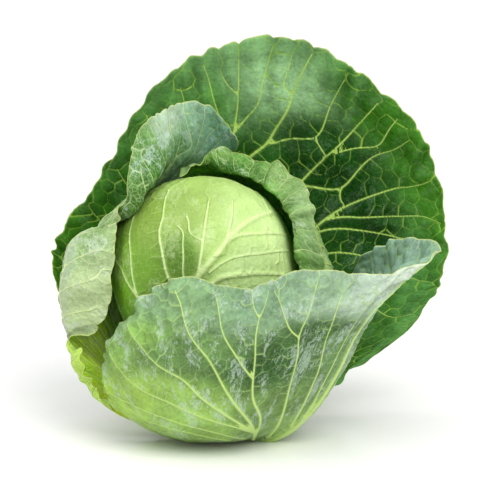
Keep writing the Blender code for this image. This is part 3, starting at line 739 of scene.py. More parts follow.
def leaf(name, ribs, veins, direction, midrib, tones, inner_tones, grid, ruffle, puff, mesh_size,
         seed, material):
    """Closed leaf with its vein net. The underside is the rib surface, pushed along its normal by
    margin waves that grow outwards, by puffs between veins and by ridges on the veins; the upper
    side is a blade's thickness further in, with shallow grooves over the main veins."""
    wave_size, wave_length, lobe = ruffle
    rng = np.random.default_rng(seed)
    table_u = np.linspace(0, 1, TABLE[0])
    plain = rib_surface(ribs, table_u, np.tile(np.linspace(0, 1, TABLE[1]), (TABLE[0], 1)))
    flat, radius, angle = lay_flat(plain)
    u = np.linspace(0, 1, grid[0])
    rib_length = np.interp(u, table_u, radius[:, -1])
    edge_length = np.linalg.norm(np.diff(plain[:, -1], axis=0), axis=1).sum()
    ends = np.array([line[-1][0] for _, _, line in veins if line[-1][1] > 0.88])
    drawn = outline(u, ends, edge_length, lobe, rng) / rib_length
    even = np.linspace(0, 1, grid[1])[None, :]
    v = even - drawn[:, None] * even**8
    surface = rib_surface(ribs, u, v)
    normal = normals_of(surface) * direction
    margin = (1 - even) * rib_length[:, None]
    along_edge = (u * edge_length)[:, None]
    shore = np.minimum(margin, (np.minimum(u, 1 - u) * LEAF_WIDTH)[:, None])
    u = np.broadcast_to(u[:, None], v.shape)
    place = look_up(flat, u, v)
    guides = [(first, last, look_up(flat, *np.array(line).T)) for first, last, line in veins]
    sow = flank_seeds(leaf_seeds(radius, angle, mesh_size, rng), across_flat, mesh_size)
    root = look_up(flat, np.array([midrib]), np.array([0.02]))[0]
    main, net = vein_fields(place.reshape(-1, 2), guides, sow, flat_triangles, root, mesh_size,
                            seed + 1)
    main_width, main_gap = main[1].reshape(v.shape), main[2].reshape(v.shape)
    net_width = (net[1] * net[3]).reshape(v.shape) + 0.05
    net_gap = net[2].reshape(v.shape)

    hump = np.exp(-(((u - midrib) / PETIOLE_HALF_WIDTH) ** 2)) * (1 - smooth(v / PETIOLE_FADE))
    blade = MARGIN_THICKNESS + (BLADE_THICKNESS - MARGIN_THICKNESS) * smooth(margin / 12.0)
    blade = blade + (PETIOLE_THICKNESS - BLADE_THICKNESS) * hump
    wave = np.sin(2 * np.pi * along_edge / wave_length
                  + 2.2 * ripples(along_edge, wave_length * 4, seed)[:, None])
    lively = 0.6 + 0.6 * ripples(along_edge, wave_length * 3, seed + 3)[:, None]
    wave = wave * lively * wave_size * smooth((v - 0.72) / 0.3) ** 1.5
    small_puffs = 1 - np.exp(-((np.minimum(main_gap, net_gap + 1.0) / 4.2) ** 2))
    large_puffs = 1 - np.exp(-((main_gap / 11.0) ** 2))
    large_puffs = large_puffs * (0.6 + 0.4 * ripples(place, 30.0, seed + 6))
    quilt = puff * (0.45 * small_puffs + large_puffs)
    roll = 1.6 * ripples(place, 46.0, seed + 5)
    crinkle = 0.22 * ripples(place, 5.5, seed + 7)
    free = smooth((v - 0.45) / 0.4)
    ridge = 0.5 * main_width * np.exp(-((main_gap / (0.62 * main_width)) ** 2))
    ridge = ridge + 0.30 * net_width * np.exp(-((net_gap / (0.8 * net_width)) ** 2))
    body = surface + normal * (wave + (roll + quilt + crinkle) * free)[..., None]
    under = body - normal * (ridge * smooth((v - 0.08) / 0.15))[..., None]
    upper = body + normal * (blade - 0.25 * ridge * smooth((v - 0.3) / 0.2))[..., None]

    faces, charts = sheet_faces(u, v)
    if direction < 0:
        faces, charts = faces[:, ::-1], charts[:, ::-1]
    streak = np.stack([u * angle[-1] * STREAK_RADIUS, look_up(radius[..., None], u, v)[..., 0]], axis=-1)
    facts = both_sides(shore.reshape(-1, 1))
    facts[v.size:, 2] = 1.0
    values = {
        "tint": np.concatenate([leaf_tint(u, v, tones), leaf_tint(u, v, inner_tones)]),
        "spread": both_sides(place.reshape(-1, 2)),
        "streak": both_sides(streak.reshape(-1, 2)),
        "leaf": facts,
        "vein": both_sides(main[0]),
        "vein_size": both_sides(np.stack(main[1:], axis=1)),
        "net": both_sides(net[0]),
        "net_size": both_sides(np.stack(net[1:], axis=1)),
    }
    points = np.concatenate([under.reshape(-1, 3), upper.reshape(-1, 3)])
    add_piece(name, points, faces.tolist(), values, charts, material)


def head(material):
    """Tight head: a slightly squared ball, radius = R (|up|^n + |out|^n)^(-1/n), with raised veins,
    shallow puffs between them and fine wrinkles. Its poles are closed by small fans."""
    axis = np.array(HEAD_LEAN) / np.linalg.norm(HEAD_LEAN)
    side = np.cross((0.0, 1.0, 0.0), axis)
    side /= np.linalg.norm(side)
    front = np.cross(axis, side)
    turns, rings = HEAD_GRID

    def ray_at(turn, polar):
        ring = np.cos(turn)[..., None] * side + np.sin(turn)[..., None] * front
        return -np.cos(polar)[..., None] * axis + np.sin(polar)[..., None] * ring

    def with_poles(table):
        return np.concatenate([table, table[[0, rings - 1]]])

    turn, polar = np.meshgrid(np.linspace(0, 2 * np.pi, turns, endpoint=False),
                              np.linspace(POLE_GAP, np.pi - POLE_GAP, rings), indexing="ij")
    ray = ray_at(turn, polar)
    n = HEAD_SQUARENESS
    radius = HEAD_RADIUS * (np.abs(np.cos(polar)) ** n + np.abs(np.sin(polar)) ** n) ** (-1 / n)
    ball = (ray * HEAD_RADIUS).reshape(-1, 3)
    guides = [(first, last, ray_at(*np.radians(np.array(line, float)).T) * HEAD_RADIUS)
              for first, last, line in HEAD_VEINS]
    loose = head_seeds(HEAD_MESH, np.random.default_rng(31))
    sow = flank_seeds(loose, across_ball, HEAD_MESH)
    main, net = vein_fields(ball, guides, sow, hull_triangles, -axis * HEAD_RADIUS, HEAD_MESH, 32)
    main_width, main_gap = main[1].reshape(turn.shape), main[2].reshape(turn.shape)
    net_width, net_gap = net[1].reshape(turn.shape), net[2].reshape(turn.shape)

    def bumps(wavelength, seed):
        return ripples(ball, wavelength, seed).reshape(turn.shape)

    rise = 0.34 * main_width * np.exp(-((main_gap / (0.75 * main_width)) ** 2))
    rise = rise + 0.28 * net_width * np.exp(-((net_gap / (0.9 * net_width)) ** 2))
    rise = rise + 0.9 * (1 - np.exp(-((main_gap / 9.0) ** 2))) * (0.5 + 0.5 * bumps(28.0, 33))
    rise = rise + 0.12 * bumps(4.5, 34) + bumps(60.0, 35)
    points = np.array(HEAD_CENTRE) + ray * (radius + rise - 1.0)[..., None]
    poles = np.array(HEAD_CENTRE) + np.array([-axis, axis]) * (HEAD_RADIUS - 1.0)
    points = np.concatenate([points.reshape(-1, 3), poles])

    left, right = np.linspace(0, 1, turns + 1)[:-1], np.linspace(0, 1, turns + 1)[1:]
    middle = (left + right) / 2
    foot = np.stack([np.stack([right, left, middle], axis=1),
                     np.tile([0.01, 0.01, 0.0], (turns, 1))], axis=-1).reshape(-1, 2)
    top = np.stack([np.stack([left, right, middle], axis=1),
                    np.tile([0.99, 0.99, 1.0], (turns, 1))], axis=-1).reshape(-1, 2)
    charts = np.concatenate([barrel_chart(turns, np.linspace(0.01, 0.99, rings)), foot, top])
    values = {
        "tint": with_poles(head_tint(turn, polar)),
        "spread": with_poles(ball),
        "streak": with_poles(ball * [1.0, 1.0, 0.5]),
        "leaf": with_poles(np.tile([50.0, 0.0, 0.0], (turn.size, 1))),
        "vein": with_poles(main[0]),
        "vein_size": with_poles(np.stack(main[1:], axis=1)),
        "net": with_poles(net[0]),
        "net_size": with_poles(np.stack(net[1:], axis=1)),
    }
    add_piece("head", points, barrel_faces(turns, rings), values, charts, material)


def stalk(material):
    """Cut stump: rings of a slowly changing radius with shallow ridges, closed by flat ends."""
    turns, rings = STALK_GRID
    turn = np.linspace(0, 2 * np.pi, turns, endpoint=False)[:, None]
    height = np.linspace(0, 1, rings)[None, :] * (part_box("stalk")[1][2] / MM - 0.5)
    radius = np.interp(height, *zip(*STALK_PROFILE))
    radius = radius * (1 + 0.02 * np.sin(5 * turn) * np.minimum(height / 12, 1))
    radius = radius + 0.25 * np.sin(17 * turn + 0.08 * height) * smooth(height / 6)
    lean = smooth((height - LEAN_START) / LEAN_RANGE)
    ring = np.stack(np.broadcast_arrays(STALK_LEAN[0] * lean + radius * np.cos(turn),
                                        STALK_LEAN[1] * lean + radius * np.sin(turn), height),
                    axis=-1)
    points = np.concatenate([ring.reshape(-1, 3), [[0, 0, 0], [*STALK_LEAN, height[0, -1]]]])
    t = np.linspace(0, 2 * np.pi, turns + 1)
    disc = np.stack([np.cos(t), np.sin(t)], axis=1) * 0.17
    hub = np.zeros((turns, 2))
    foot = np.stack([disc[1:], disc[:-1], hub], axis=1).reshape(-1, 2) + [0.2, 0.8]
    top = np.stack([disc[:-1], disc[1:], hub], axis=1).reshape(-1, 2) + [0.7, 0.8]
    charts = np.concatenate([barrel_chart(turns, np.linspace(0, 0.6, rings)), foot, top])
    add_piece("stalk", points, barrel_faces(turns, rings), {}, charts, material)


# Colours at places on each leaf: u, v, then red, green, blue (linear). Besides the leaf's own colour
# they hold painted light and shade: paler where light falls, darker in shade, and brighter where a
# part in deep shadow is lifted.
# Painted light on the front leaf: paler towards its tip, where light falls on it.
FRONT_TONES = [
    (0.5, 0.05, 0.44, 0.58, 0.18), (0.05, 0.75, 0.34, 0.55, 0.04), (0.15, 0.5, 0.35, 0.55, 0.08),
    (0.3, 0.45, 0.28, 0.47, 0.09), (0.2, 0.8, 0.22, 0.41, 0.08), (0.35, 0.7, 0.11, 0.22, 0.06),
    (0.35, 0.93, 0.20, 0.35, 0.16), (0.48, 0.65, 0.02, 0.08, 0.01), (0.45, 0.93, 0.22, 0.37, 0.22),
    (0.56, 0.75, 0.04, 0.11, 0.02), (0.55, 0.45, 0.12, 0.22, 0.05), (0.65, 0.7, 0.11, 0.21, 0.07),
    (0.66, 0.9, 0.46, 0.58, 0.46), (0.7, 0.96, 0.60, 0.70, 0.58), (0.68, 0.35, 0.22, 0.36, 0.10),
    (0.85, 0.85, 0.22, 0.38, 0.30), (0.92, 0.55, 0.22, 0.38, 0.22), (0.55, 0.93, 0.26, 0.40, 0.25),
]
FRONT_INNER_TONES = [
    (0.5, 0.05, 0.50, 0.62, 0.30), (0.1, 0.7, 0.22, 0.42, 0.06), (0.5, 0.5, 0.14, 0.30, 0.05),
    (0.5, 0.95, 0.11, 0.26, 0.05), (0.75, 0.9, 0.19, 0.33, 0.24), (0.85, 0.8, 0.17, 0.31, 0.22),
]
# Painted light on the back leaf's upper side: a painted sheen patch near its top at (0.54, 0.9).
# Places at its right are painted brighter, and near-black places painted darker to offset reflections.
BACK_INNER_TONES = [
    (0.5, 0.05, 0.42, 0.55, 0.20), (0.5, 0.3, 0.06, 0.18, 0.01), (0.05, 0.8, 0.03, 0.14, 0.012),
    (0.1, 0.7, 0.04, 0.15, 0.015), (0.18, 0.82, 0.08, 0.25, 0.05), (0.08, 0.9, 0.10, 0.28, 0.06),
    (0.3, 0.7, 0.002, 0.04, 0.001),
    (0.4, 0.75, 0.002, 0.04, 0.001), (0.33, 0.95, 0.05, 0.20, 0.012),
    (0.42, 0.93, 0.03, 0.15, 0.005),
    (0.5, 0.7, 0.003, 0.045, 0.001), (0.54, 0.9, 0.30, 0.53, 0.25), (0.65, 0.88, 0.09, 0.27, 0.05),
    (0.75, 0.85, 0.022, 0.13, 0.004), (0.85, 0.8, 0.014, 0.09, 0.001),
    (0.96, 0.85, 0.05, 0.20, 0.005),
    (0.465, 0.82, 0.003, 0.05, 0.001), (0.6, 0.72, 0.01, 0.08, 0.002),
    (0.7, 0.7, 0.008, 0.07, 0.001),
]
BACK_TONES = [
    (0.5, 0.05, 0.50, 0.62, 0.28), (0.5, 0.35, 0.30, 0.45, 0.18), (0.2, 0.7, 0.15, 0.29, 0.11),
    (0.5, 0.7, 0.17, 0.31, 0.13), (0.8, 0.7, 0.16, 0.30, 0.12), (0.5, 0.95, 0.13, 0.28, 0.09),
]
# Painted light on the left leaf's outer side: paler where it faces up into the light.
LEFT_TONES = [
    (0.5, 0.05, 0.52, 0.64, 0.32), (0.1, 0.45, 0.74, 0.92, 0.44), (0.15, 0.7, 0.40, 0.44, 0.34),
    (0.3, 0.6, 0.40, 0.50, 0.28), (0.3, 0.75, 0.37, 0.48, 0.32), (0.15, 0.9, 0.42, 0.54, 0.27),
    (0.35, 0.88, 0.24, 0.42, 0.14), (0.45, 0.7, 0.18, 0.34, 0.08), (0.45, 0.9, 0.60, 0.76, 0.38),
    (0.55, 0.9, 0.11, 0.27, 0.06), (0.62, 0.88, 0.14, 0.31, 0.08), (0.65, 0.96, 0.44, 0.60, 0.38),
    (0.75, 0.9, 0.28, 0.45, 0.26), (0.85, 0.93, 0.16, 0.33, 0.22), (0.95, 0.9, 0.12, 0.28, 0.16),
    (0.7, 0.6, 0.20, 0.36, 0.10),
]
# Painted light on the left leaf's upper side: the vivid yellow-green low down lifts a part in shadow.
# Painted shade darkens the band across its flap, and the flap's pale top is a painted sheen.
LEFT_INNER_TONES = [
    (0.5, 0.05, 0.60, 0.85, 0.20), (0.2, 0.7, 0.72, 0.98, 0.05), (0.3, 0.5, 0.72, 0.98, 0.05),
    (0.1, 0.9, 0.55, 0.85, 0.15), (0.5, 0.6, 0.10, 0.28, 0.04),
    (0.45, 0.9, 0.06, 0.17, 0.015), (0.52, 0.88, 0.05, 0.16, 0.02), (0.62, 0.9, 0.04, 0.16, 0.015),
    (0.7, 0.97, 0.46, 0.62, 0.45), (0.62, 0.97, 0.12, 0.28, 0.06), (0.76, 0.87, 0.13, 0.30, 0.12),
    (0.83, 0.92, 0.20, 0.38, 0.25), (0.93, 0.92, 0.18, 0.40, 0.28),
]
# Painted light makes the rolled margin lighter along its top edge.
# Painted shade on the curled leaf's rolled margin: darker on its lower, inner part and at its left end.
CURLED_TONES = [
    (0.5, 0.05, 0.50, 0.62, 0.28), (0.5, 0.5, 0.26, 0.42, 0.12), (0.1, 0.8, 0.10, 0.28, 0.03),
    (0.5, 0.8, 0.20, 0.36, 0.10), (0.85, 0.8, 0.22, 0.38, 0.10), (0.5, 0.95, 0.26, 0.44, 0.15),
    (0.3, 0.95, 0.17, 0.33, 0.08), (0.1, 0.95, 0.15, 0.33, 0.05), (0.8, 0.95, 0.22, 0.40, 0.13),
]
# Painted light: vivid green lifts the curled leaf's upper side next to the head, which lies in shadow.
# The near-black places at v 0.89 are painted shade inside the roll.
CURLED_INNER_TONES = [
    (0.5, 0.05, 0.45, 0.58, 0.24), (0.5, 0.5, 0.12, 0.6, 0.02), (0.1, 0.75, 0.22, 0.80, 0.03),
    (0.5, 0.78, 0.14, 0.60, 0.02), (0.3, 0.78, 0.2, 0.80, 0.03), (0.85, 0.8, 0.08, 0.30, 0.02),
    (0.2, 0.98, 0.12, 0.28, 0.04),
    (0.05, 0.89, 0.01, 0.12, 0.001), (0.15, 0.89, 0.01, 0.12, 0.001),
    (0.26, 0.9, 0.02, 0.12, 0.005),
    (0.1, 0.98, 0.10, 0.27, 0.03), (0.35, 0.89, 0.05, 0.17, 0.015), (0.6, 0.89, 0.08, 0.20, 0.03),
    (0.5, 0.97, 0.17, 0.32, 0.08), (0.8, 0.97, 0.17, 0.32, 0.10), (0.85, 0.89, 0.10, 0.25, 0.04),
    (0.65, 0.97, 0.24, 0.40, 0.15),
]
# Painted light: both sides of the lower left leaf are painted brighter to lift them out of the shade
# around them.
LOWER_LEFT_TONES = [
    (0.5, 0.1, 0.50, 0.62, 0.22), (0.2, 0.6, 0.50, 0.72, 0.20), (0.7, 0.6, 0.46, 0.70, 0.12),
    (0.4, 0.95, 0.48, 0.72, 0.10),
]
LOWER_LEFT_INNER_TONES = [
    (0.5, 0.1, 0.62, 0.85, 0.12), (0.1, 0.8, 0.60, 0.92, 0.06), (0.5, 0.8, 0.78, 0.98, 0.04),
    (0.8, 0.8, 0.78, 0.98, 0.04),
]
# Colours at places on the head: turn and height in degrees, then red, green, blue. Painted shade
# makes the head darker over its left and middle, where the leaves shade it, and painted light makes
# it paler on the lit right; its left is also a greener leaf.
HEAD_TONES = [
    (0, 5, 0.50, 0.62, 0.30), (270, 45, 0.46, 0.62, 0.20), (200, 70, 0.08, 0.28, 0.005),
    (220, 90, 0.14, 0.34, 0.01), (205, 110, 0.18, 0.38, 0.03), (245, 95, 0.15, 0.31, 0.025),
    (262, 110, 0.10, 0.22, 0.02), (240, 140, 0.22, 0.36, 0.05), (265, 140, 0.30, 0.45, 0.10),
    (285, 112, 0.40, 0.59, 0.17), (300, 95, 0.50, 0.70, 0.27), (315, 120, 0.50, 0.71, 0.25),
    (335, 105, 0.66, 0.88, 0.36),
    (0, 100, 0.36, 0.54, 0.13), (0, 178, 0.36, 0.54, 0.13), (90, 90, 0.36, 0.52, 0.14),
    (180, 120, 0.34, 0.52, 0.12),
]


class Nodes:
    """Short calls for wiring one node tree: an input that is a socket is linked, any other is set."""

    def __init__(self, tree):
        self.tree = tree

    def add(self, kind, inputs=(), **settings):
        node = self.tree.nodes.new(kind)
        for key, value in settings.items():
            setattr(node, key, value)
        for key, value in dict(inputs).items():
            self.put(node.inputs[key], value)
        return node

    def put(self, socket, value):
        if isinstance(value, bpy.types.NodeSocket):
            self.tree.links.new(value, socket)
        else:
            socket.default_value = value

    def math(self, operation, a, b=0.0, c=0.0):
        node = self.add("ShaderNodeMath", {0: a, 1: b}, operation=operation)
        if operation == "MULTIPLY_ADD":
            self.put(node.inputs[2], c)
        return node.outputs[0]

    def ramp(self, value, low, high, start=0.0, end=1.0):
        node = self.add("ShaderNodeMapRange", {"Value": value, "From Min": low, "From Max": high,
                                               "To Min": start, "To Max": end},
                        interpolation_type="SMOOTHSTEP")
        return node.outputs["Result"]

    def mix(self, factor, a, b):
        return self.add("ShaderNodeMix", {0: factor, 6: a, 7: b}, data_type="RGBA").outputs[2]

    def fact(self, name, output="Vector"):
        return self.add("ShaderNodeAttribute", attribute_name=name).outputs[output]

    def noise(self, vector, scale, detail=2.0, roughness=0.5):
        node = self.add("ShaderNodeTexNoise", {"Vector": vector, "Scale": scale, "Detail": detail,
                                               "Roughness": roughness})
        return node.outputs[0]

    def split(self, vector):
        return self.add("ShaderNodeSeparateXYZ", {0: vector}).outputs


def new_group(name, inputs, outputs):
    """Empty shader node group with the given sockets, as (name, kind, default) rows."""
    group = bpy.data.node_groups.new(name, "ShaderNodeTree")
    for label, kind, default in inputs:
        socket = group.interface.new_socket(label, in_out="INPUT", socket_type="NodeSocket" + kind)
        if default is not None:
            socket.default_value = default
    for label, kind in outputs:
        group.interface.new_socket(label, in_out="OUTPUT", socket_type="NodeSocket" + kind)
    nodes = Nodes(group)
    start = group.nodes.new("NodeGroupInput").outputs
    end = group.nodes.new("NodeGroupOutput").inputs
    return group, nodes, start, end


def vein_line_group():
    """Line along a vein: full inside its width, fading at its sides. The distance shuts out the
    false line half way between two veins, where their offsets cancel."""
    group, n, start, end = new_group(
        "vein_line", [("Offset", "Vector", None), ("Size", "Vector", None)],
        [("Line", "Float"), ("Halo", "Float")])
    size = n.split(start["Size"])
    gap = n.add("ShaderNodeVectorMath", {0: start["Offset"]}, operation="LENGTH").outputs["Value"]
    half = n.math("MULTIPLY", size[0], 0.5)
    share = n.math("DIVIDE", gap, half)
    open_to = n.math("MAXIMUM", n.math("ADD", half, 0.4), 1.7)
    gate = n.ramp(n.math("SUBTRACT", size[1], open_to), 0.0, 0.6, size[2], 0.0)
    n.put(end["Line"], n.math("MULTIPLY", n.ramp(share, 0.45, 1.15, 1.0, 0.0), gate))
    n.put(end["Halo"], n.ramp(n.math("DIVIDE", size[1], half), 0.8, 2.4, size[2], 0.0))
    return group


def leaf_pattern_group(line_group):
    """Leaf surface: the colour with its painted light and shade, mottled, with a fine mesh, the net,
    main veins, waxy bloom with painted sheen and a thin margin laid over it. Also puts out roughness and
    height (mm)."""
    group, n, start, end = new_group("leaf_pattern", [
        ("Vein Colour", "Color", (0.5, 0.6, 0.2, 1)), ("Vein Amount", "Float", 0.8),
        ("Net Colour", "Color", (0.4, 0.5, 0.2, 1)), ("Net Amount", "Float", 0.5),
        ("Mesh Amount", "Float", 0.3), ("Mottle", "Float", 0.25),
        # The bloom inputs paint a waxy bloom and, with it, pale painted sheen where the glossy leaf
        # catches light.
        ("Bloom Colour", "Color", (0.6, 0.75, 0.7, 1)), ("Bloom Amount", "Float", 0.3),
        ("Bloom And Sheen Scale", "Float", 0.07), ("Margin Colour", "Color", (0.6, 0.65, 0.2, 1)),
        ("Margin Width", "Float", 0.9), ("Plain Roughness", "Float", 0.42),
        ("Vein Rise", "Float", 0.4),
    ], [("Colour", "Color"), ("Roughness", "Float"), ("Height", "Float")])
    # The tint holds each surface's colour with its painted light and shade.
    tint = n.fact("tint", "Color")
    spread = n.fact("spread")
    shore = n.split(n.fact("leaf"))[0]
    main = n.add("ShaderNodeGroup", node_tree=line_group)
    net = n.add("ShaderNodeGroup", node_tree=line_group)
    for node, key in ((main, "vein"), (net, "net")):
        n.put(node.inputs["Offset"], n.fact(key))
        n.put(node.inputs["Size"], n.fact(key + "_size"))
    waver = n.add("ShaderNodeTexNoise", {"Vector": spread, "Scale": 0.35, "Detail": 1.0}).outputs[1]
    bent = n.add("ShaderNodeVectorMath", {0: waver, 1: (2.2, 2.2, 2.2), 2: spread},
                 operation="MULTIPLY_ADD").outputs[0]
    mesh = n.add("ShaderNodeTexVoronoi", {"Vector": bent, "Scale": 0.22, "Randomness": 1.0},
                 feature="DISTANCE_TO_EDGE").outputs["Distance"]
    mesh_line = n.ramp(mesh, 0.01, 0.10, 1.0, 0.0)
    broad = n.noise(spread, 0.05, 3.0)
    small = n.noise(spread, 0.33, 3.0, 0.6)
    grain = n.noise(spread, 1.6, 2.0, 0.6)
    shade = n.math("ADD", n.ramp(broad, 0.3, 0.7, -0.6, 0.6), n.ramp(small, 0.25, 0.75, -0.5, 0.5))
    level = n.math("ADD", n.math("MULTIPLY", shade, start["Mottle"]), 1.0)
    scaled = n.add("ShaderNodeVectorMath", {0: tint}, operation="SCALE")
    n.put(scaled.inputs["Scale"], level)
    colour = scaled.outputs[0]
    colour = n.mix(n.math("MULTIPLY", mesh_line, start["Mesh Amount"]), colour, start["Net Colour"])
    net_halo = n.math("MULTIPLY", net.outputs["Halo"], 0.18)
    net_mask = n.math("MAXIMUM", net.outputs["Line"], net_halo)
    colour = n.mix(n.math("MULTIPLY", net_mask, start["Net Amount"]), colour, start["Net Colour"])
    vein_halo = n.math("MULTIPLY", main.outputs["Halo"], 0.22)
    vein_mask = n.math("MAXIMUM", main.outputs["Line"], vein_halo)
    colour = n.mix(n.math("MULTIPLY", vein_mask, start["Vein Amount"]), colour, start["Vein Colour"])
    # Waxy bloom in streaky patches, which also serves as painted sheen: pale patches standing in for
    # light on the gloss.
    drawn = n.add("ShaderNodeMapping", {"Vector": n.fact("streak"),
                                        "Scale": (1.0, 0.42, 1.0)}).outputs[0]
    patch = n.add("ShaderNodeTexNoise", {"Vector": drawn, "Scale": start["Bloom And Sheen Scale"], "Detail": 6.0,
                                         "Roughness": 0.68, "Distortion": 0.5}).outputs[0]
    flecks = n.add("ShaderNodeTexNoise", {"Vector": drawn, "Scale": 0.55, "Detail": 4.0,
                                          "Roughness": 0.7, "Distortion": 1.0}).outputs[0]
    wax_and_sheen = n.ramp(n.math("MULTIPLY_ADD", n.math("SUBTRACT", flecks, 0.5), 0.55, patch), 0.53, 0.62)
    wax_and_sheen = n.math("MULTIPLY", wax_and_sheen, n.ramp(flecks, 0.35, 0.62, 0.35, 1.0))
    clear = n.math("MULTIPLY_ADD", vein_mask, -0.7, 1.0)
    wax_and_sheen = n.math("MULTIPLY", n.math("MULTIPLY", wax_and_sheen, clear), start["Bloom Amount"])
    colour = n.mix(wax_and_sheen, colour, start["Bloom Colour"])
    rim = n.ramp(n.math("DIVIDE", shore, start["Margin Width"]), 0.4, 1.2, 0.6, 0.0)
    colour = n.mix(rim, colour, start["Margin Colour"])
    n.put(end["Colour"], colour)
    rough = n.math("MULTIPLY_ADD", wax_and_sheen, 0.35, start["Plain Roughness"])
    rough = n.math("ADD", n.ramp(small, 0.3, 0.7, -0.07, 0.07), rough)
    n.put(end["Roughness"], rough)
    crest = n.math("ADD", main.outputs["Halo"], net.outputs["Halo"])
    height = n.math("MULTIPLY", crest, start["Vein Rise"])
    height = n.math("MULTIPLY_ADD", mesh_line, n.math("MULTIPLY", start["Vein Rise"], 0.35), height)
    height = n.math("MULTIPLY_ADD", small, 0.35, height)
    height = n.math("MULTIPLY_ADD", grain, 0.08, height)
    n.put(end["Height"], height)
    return group


def leaf_skin(name, coat=0.05, gloss=0.2, inner=None, **values):
    """Waxy leaf material. values are the pattern's inputs by name; inner gives other ones for the
    upper side, mixed in by the leaf attribute's side."""
    made = bpy.data.materials.new(name)
    made.use_nodes = True
    n = Nodes(made.node_tree)
    shader = made.node_tree.nodes["Principled BSDF"]

    def side(chosen):
        node = n.add("ShaderNodeGroup", node_tree=PATTERN)
        for key, value in chosen.items():
            node.inputs[key.replace("_", " ").title()].default_value = value
        return node.outputs

    colour, rough, height = side(values)
    if inner:
        colour_in, rough_in, height_in = side({**values, **inner})
        upper = n.split(n.fact("leaf"))[2]
        colour = n.mix(upper, colour, colour_in)
        rough = n.add("ShaderNodeMix", {0: upper, 2: rough, 3: rough_in}).outputs[0]
        height = n.add("ShaderNodeMix", {0: upper, 2: height, 3: height_in}).outputs[0]
    n.put(shader.inputs["Base Color"], colour)
    n.put(shader.inputs["Roughness"], rough)
    lift = n.add("ShaderNodeBump", {"Strength": 1.0, "Distance": MM, "Height": height})
    n.put(shader.inputs["Normal"], lift.outputs[0])
    shader.inputs["Specular IOR Level"].default_value = gloss
    shader.inputs["Coat Weight"].default_value = coat
    shader.inputs["Coat Roughness"].default_value = 0.28
    return made


def stalk_material():
    """Pale fibrous stem: long streaks up its sides, small dents and a drier, browner foot."""
    made = bpy.data.materials.new("stem")
    made.use_nodes = True
    n = Nodes(made.node_tree)
    shader = made.node_tree.nodes["Principled BSDF"]
    place = n.add("ShaderNodeTexCoord").outputs["Object"]
    long = n.add("ShaderNodeMapping", {"Vector": place, "Scale": (1, 1, 0.12)}).outputs[0]
    streak = n.noise(long, 420.0, 4.0, 0.6)
    spot = n.noise(place, 120.0, 4.0, 0.6)
    colour = n.mix(n.ramp(streak, 0.35, 0.7), (0.62, 0.68, 0.36, 1), (0.78, 0.80, 0.56, 1))
    foot = n.ramp(n.split(place)[2], 0.0005, 0.006, 0.75, 0.0)
    colour = n.mix(n.math("MULTIPLY", foot, n.ramp(spot, 0.3, 0.6, 0.4, 1.0)), colour,
                   (0.42, 0.33, 0.17, 1))
    n.put(shader.inputs["Base Color"], colour)
    n.put(shader.inputs["Roughness"], n.ramp(spot, 0.3, 0.7, 0.45, 0.65))
    lift = n.add("ShaderNodeBump", {"Strength": 0.5, "Distance": MM,
                                    "Height": n.math("MULTIPLY_ADD", streak, 0.8, spot)})
    n.put(shader.inputs["Normal"], lift.outputs[0])
    return made


def floor():
    """Pale studio floor: one large flat square just under the object."""
    half = 12.0
    mesh = bpy.data.meshes.new("floor")
    corners = [(-half, -half, 0), (half, -half, 0), (half, half, 0), (-half, half, 0)]
    mesh.from_pydata(corners, [], [(0, 1, 2, 3)])
    made = bpy.data.materials.new("pale_floor")
    made.use_nodes = True
    n = Nodes(made.node_tree)
    shader = made.node_tree.nodes["Principled BSDF"]
    place = n.add("ShaderNodeTexCoord").outputs["Object"]
    cloud = n.ramp(n.noise(place, 3.0, 3.0), 0.3, 0.7)
    n.put(shader.inputs["Base Color"], n.mix(cloud, (0.93, 0.93, 0.925, 1), (0.96, 0.96, 0.955, 1)))
    shader.inputs["Roughness"].default_value = 0.14
    shader.inputs["IOR"].default_value = 1.2
    mesh.materials.append(made)
    piece = bpy.data.objects.new("floor", mesh)
    bpy.context.scene.collection.objects.link(piece)


def light(name, aim, spread, strength, colour):
    """Sun-like lamp: even light over the whole floor, from a direction given as the way it shines,
    soft because it fills a cone of spread degrees."""
    data = bpy.data.lights.new(name, "SUN")
    data.angle = np.radians(spread)
    data.energy = strength
    data.color = colour
    lamp = bpy.data.objects.new(name, data)
    lamp.rotation_euler = Vector(aim).to_track_quat("-Z", "Y").to_euler()
    bpy.context.scene.collection.objects.link(lamp)


def studio():
    """White surroundings, a key light from the upper right and front, a weaker fill from above, and the
    camera: 12 degrees above the floor and 2.6 m away, through a long lens."""
    world = bpy.data.worlds.new("studio")
    world.use_nodes = True
    n = Nodes(world.node_tree)
    seen = n.add("ShaderNodeLightPath").outputs["Is Camera Ray"]
    sky = world.node_tree.nodes["Background"]
    sky.inputs["Color"].default_value = (1.0, 1.0, 1.0, 1.0)
    n.put(sky.inputs["Strength"], n.math("MULTIPLY_ADD", seen, 0.4, 0.6))
    bpy.context.scene.world = world
    light("key", (-0.55, 0.75, -1.0), 45.0, 1.9, (1.0, 0.985, 0.95))
    light("top", (0.35, 0.15, -1.0), 70.0, 1.35, (1.0, 1.0, 1.0))
    data = bpy.data.cameras.new("camera")
    data.sensor_width = 36.0
    data.lens = 220.2
    camera = bpy.data.objects.new("camera", data)
    camera.location = (0.013, -2.511, 0.691)
    camera.rotation_euler = (np.radians(78.0), 0.0, 0.0)
    bpy.context.scene.collection.objects.link(camera)
    bpy.context.scene.camera = camera
    bpy.context.scene.view_settings.view_transform = "Standard"


PATTERN = leaf_pattern_group(vein_line_group())
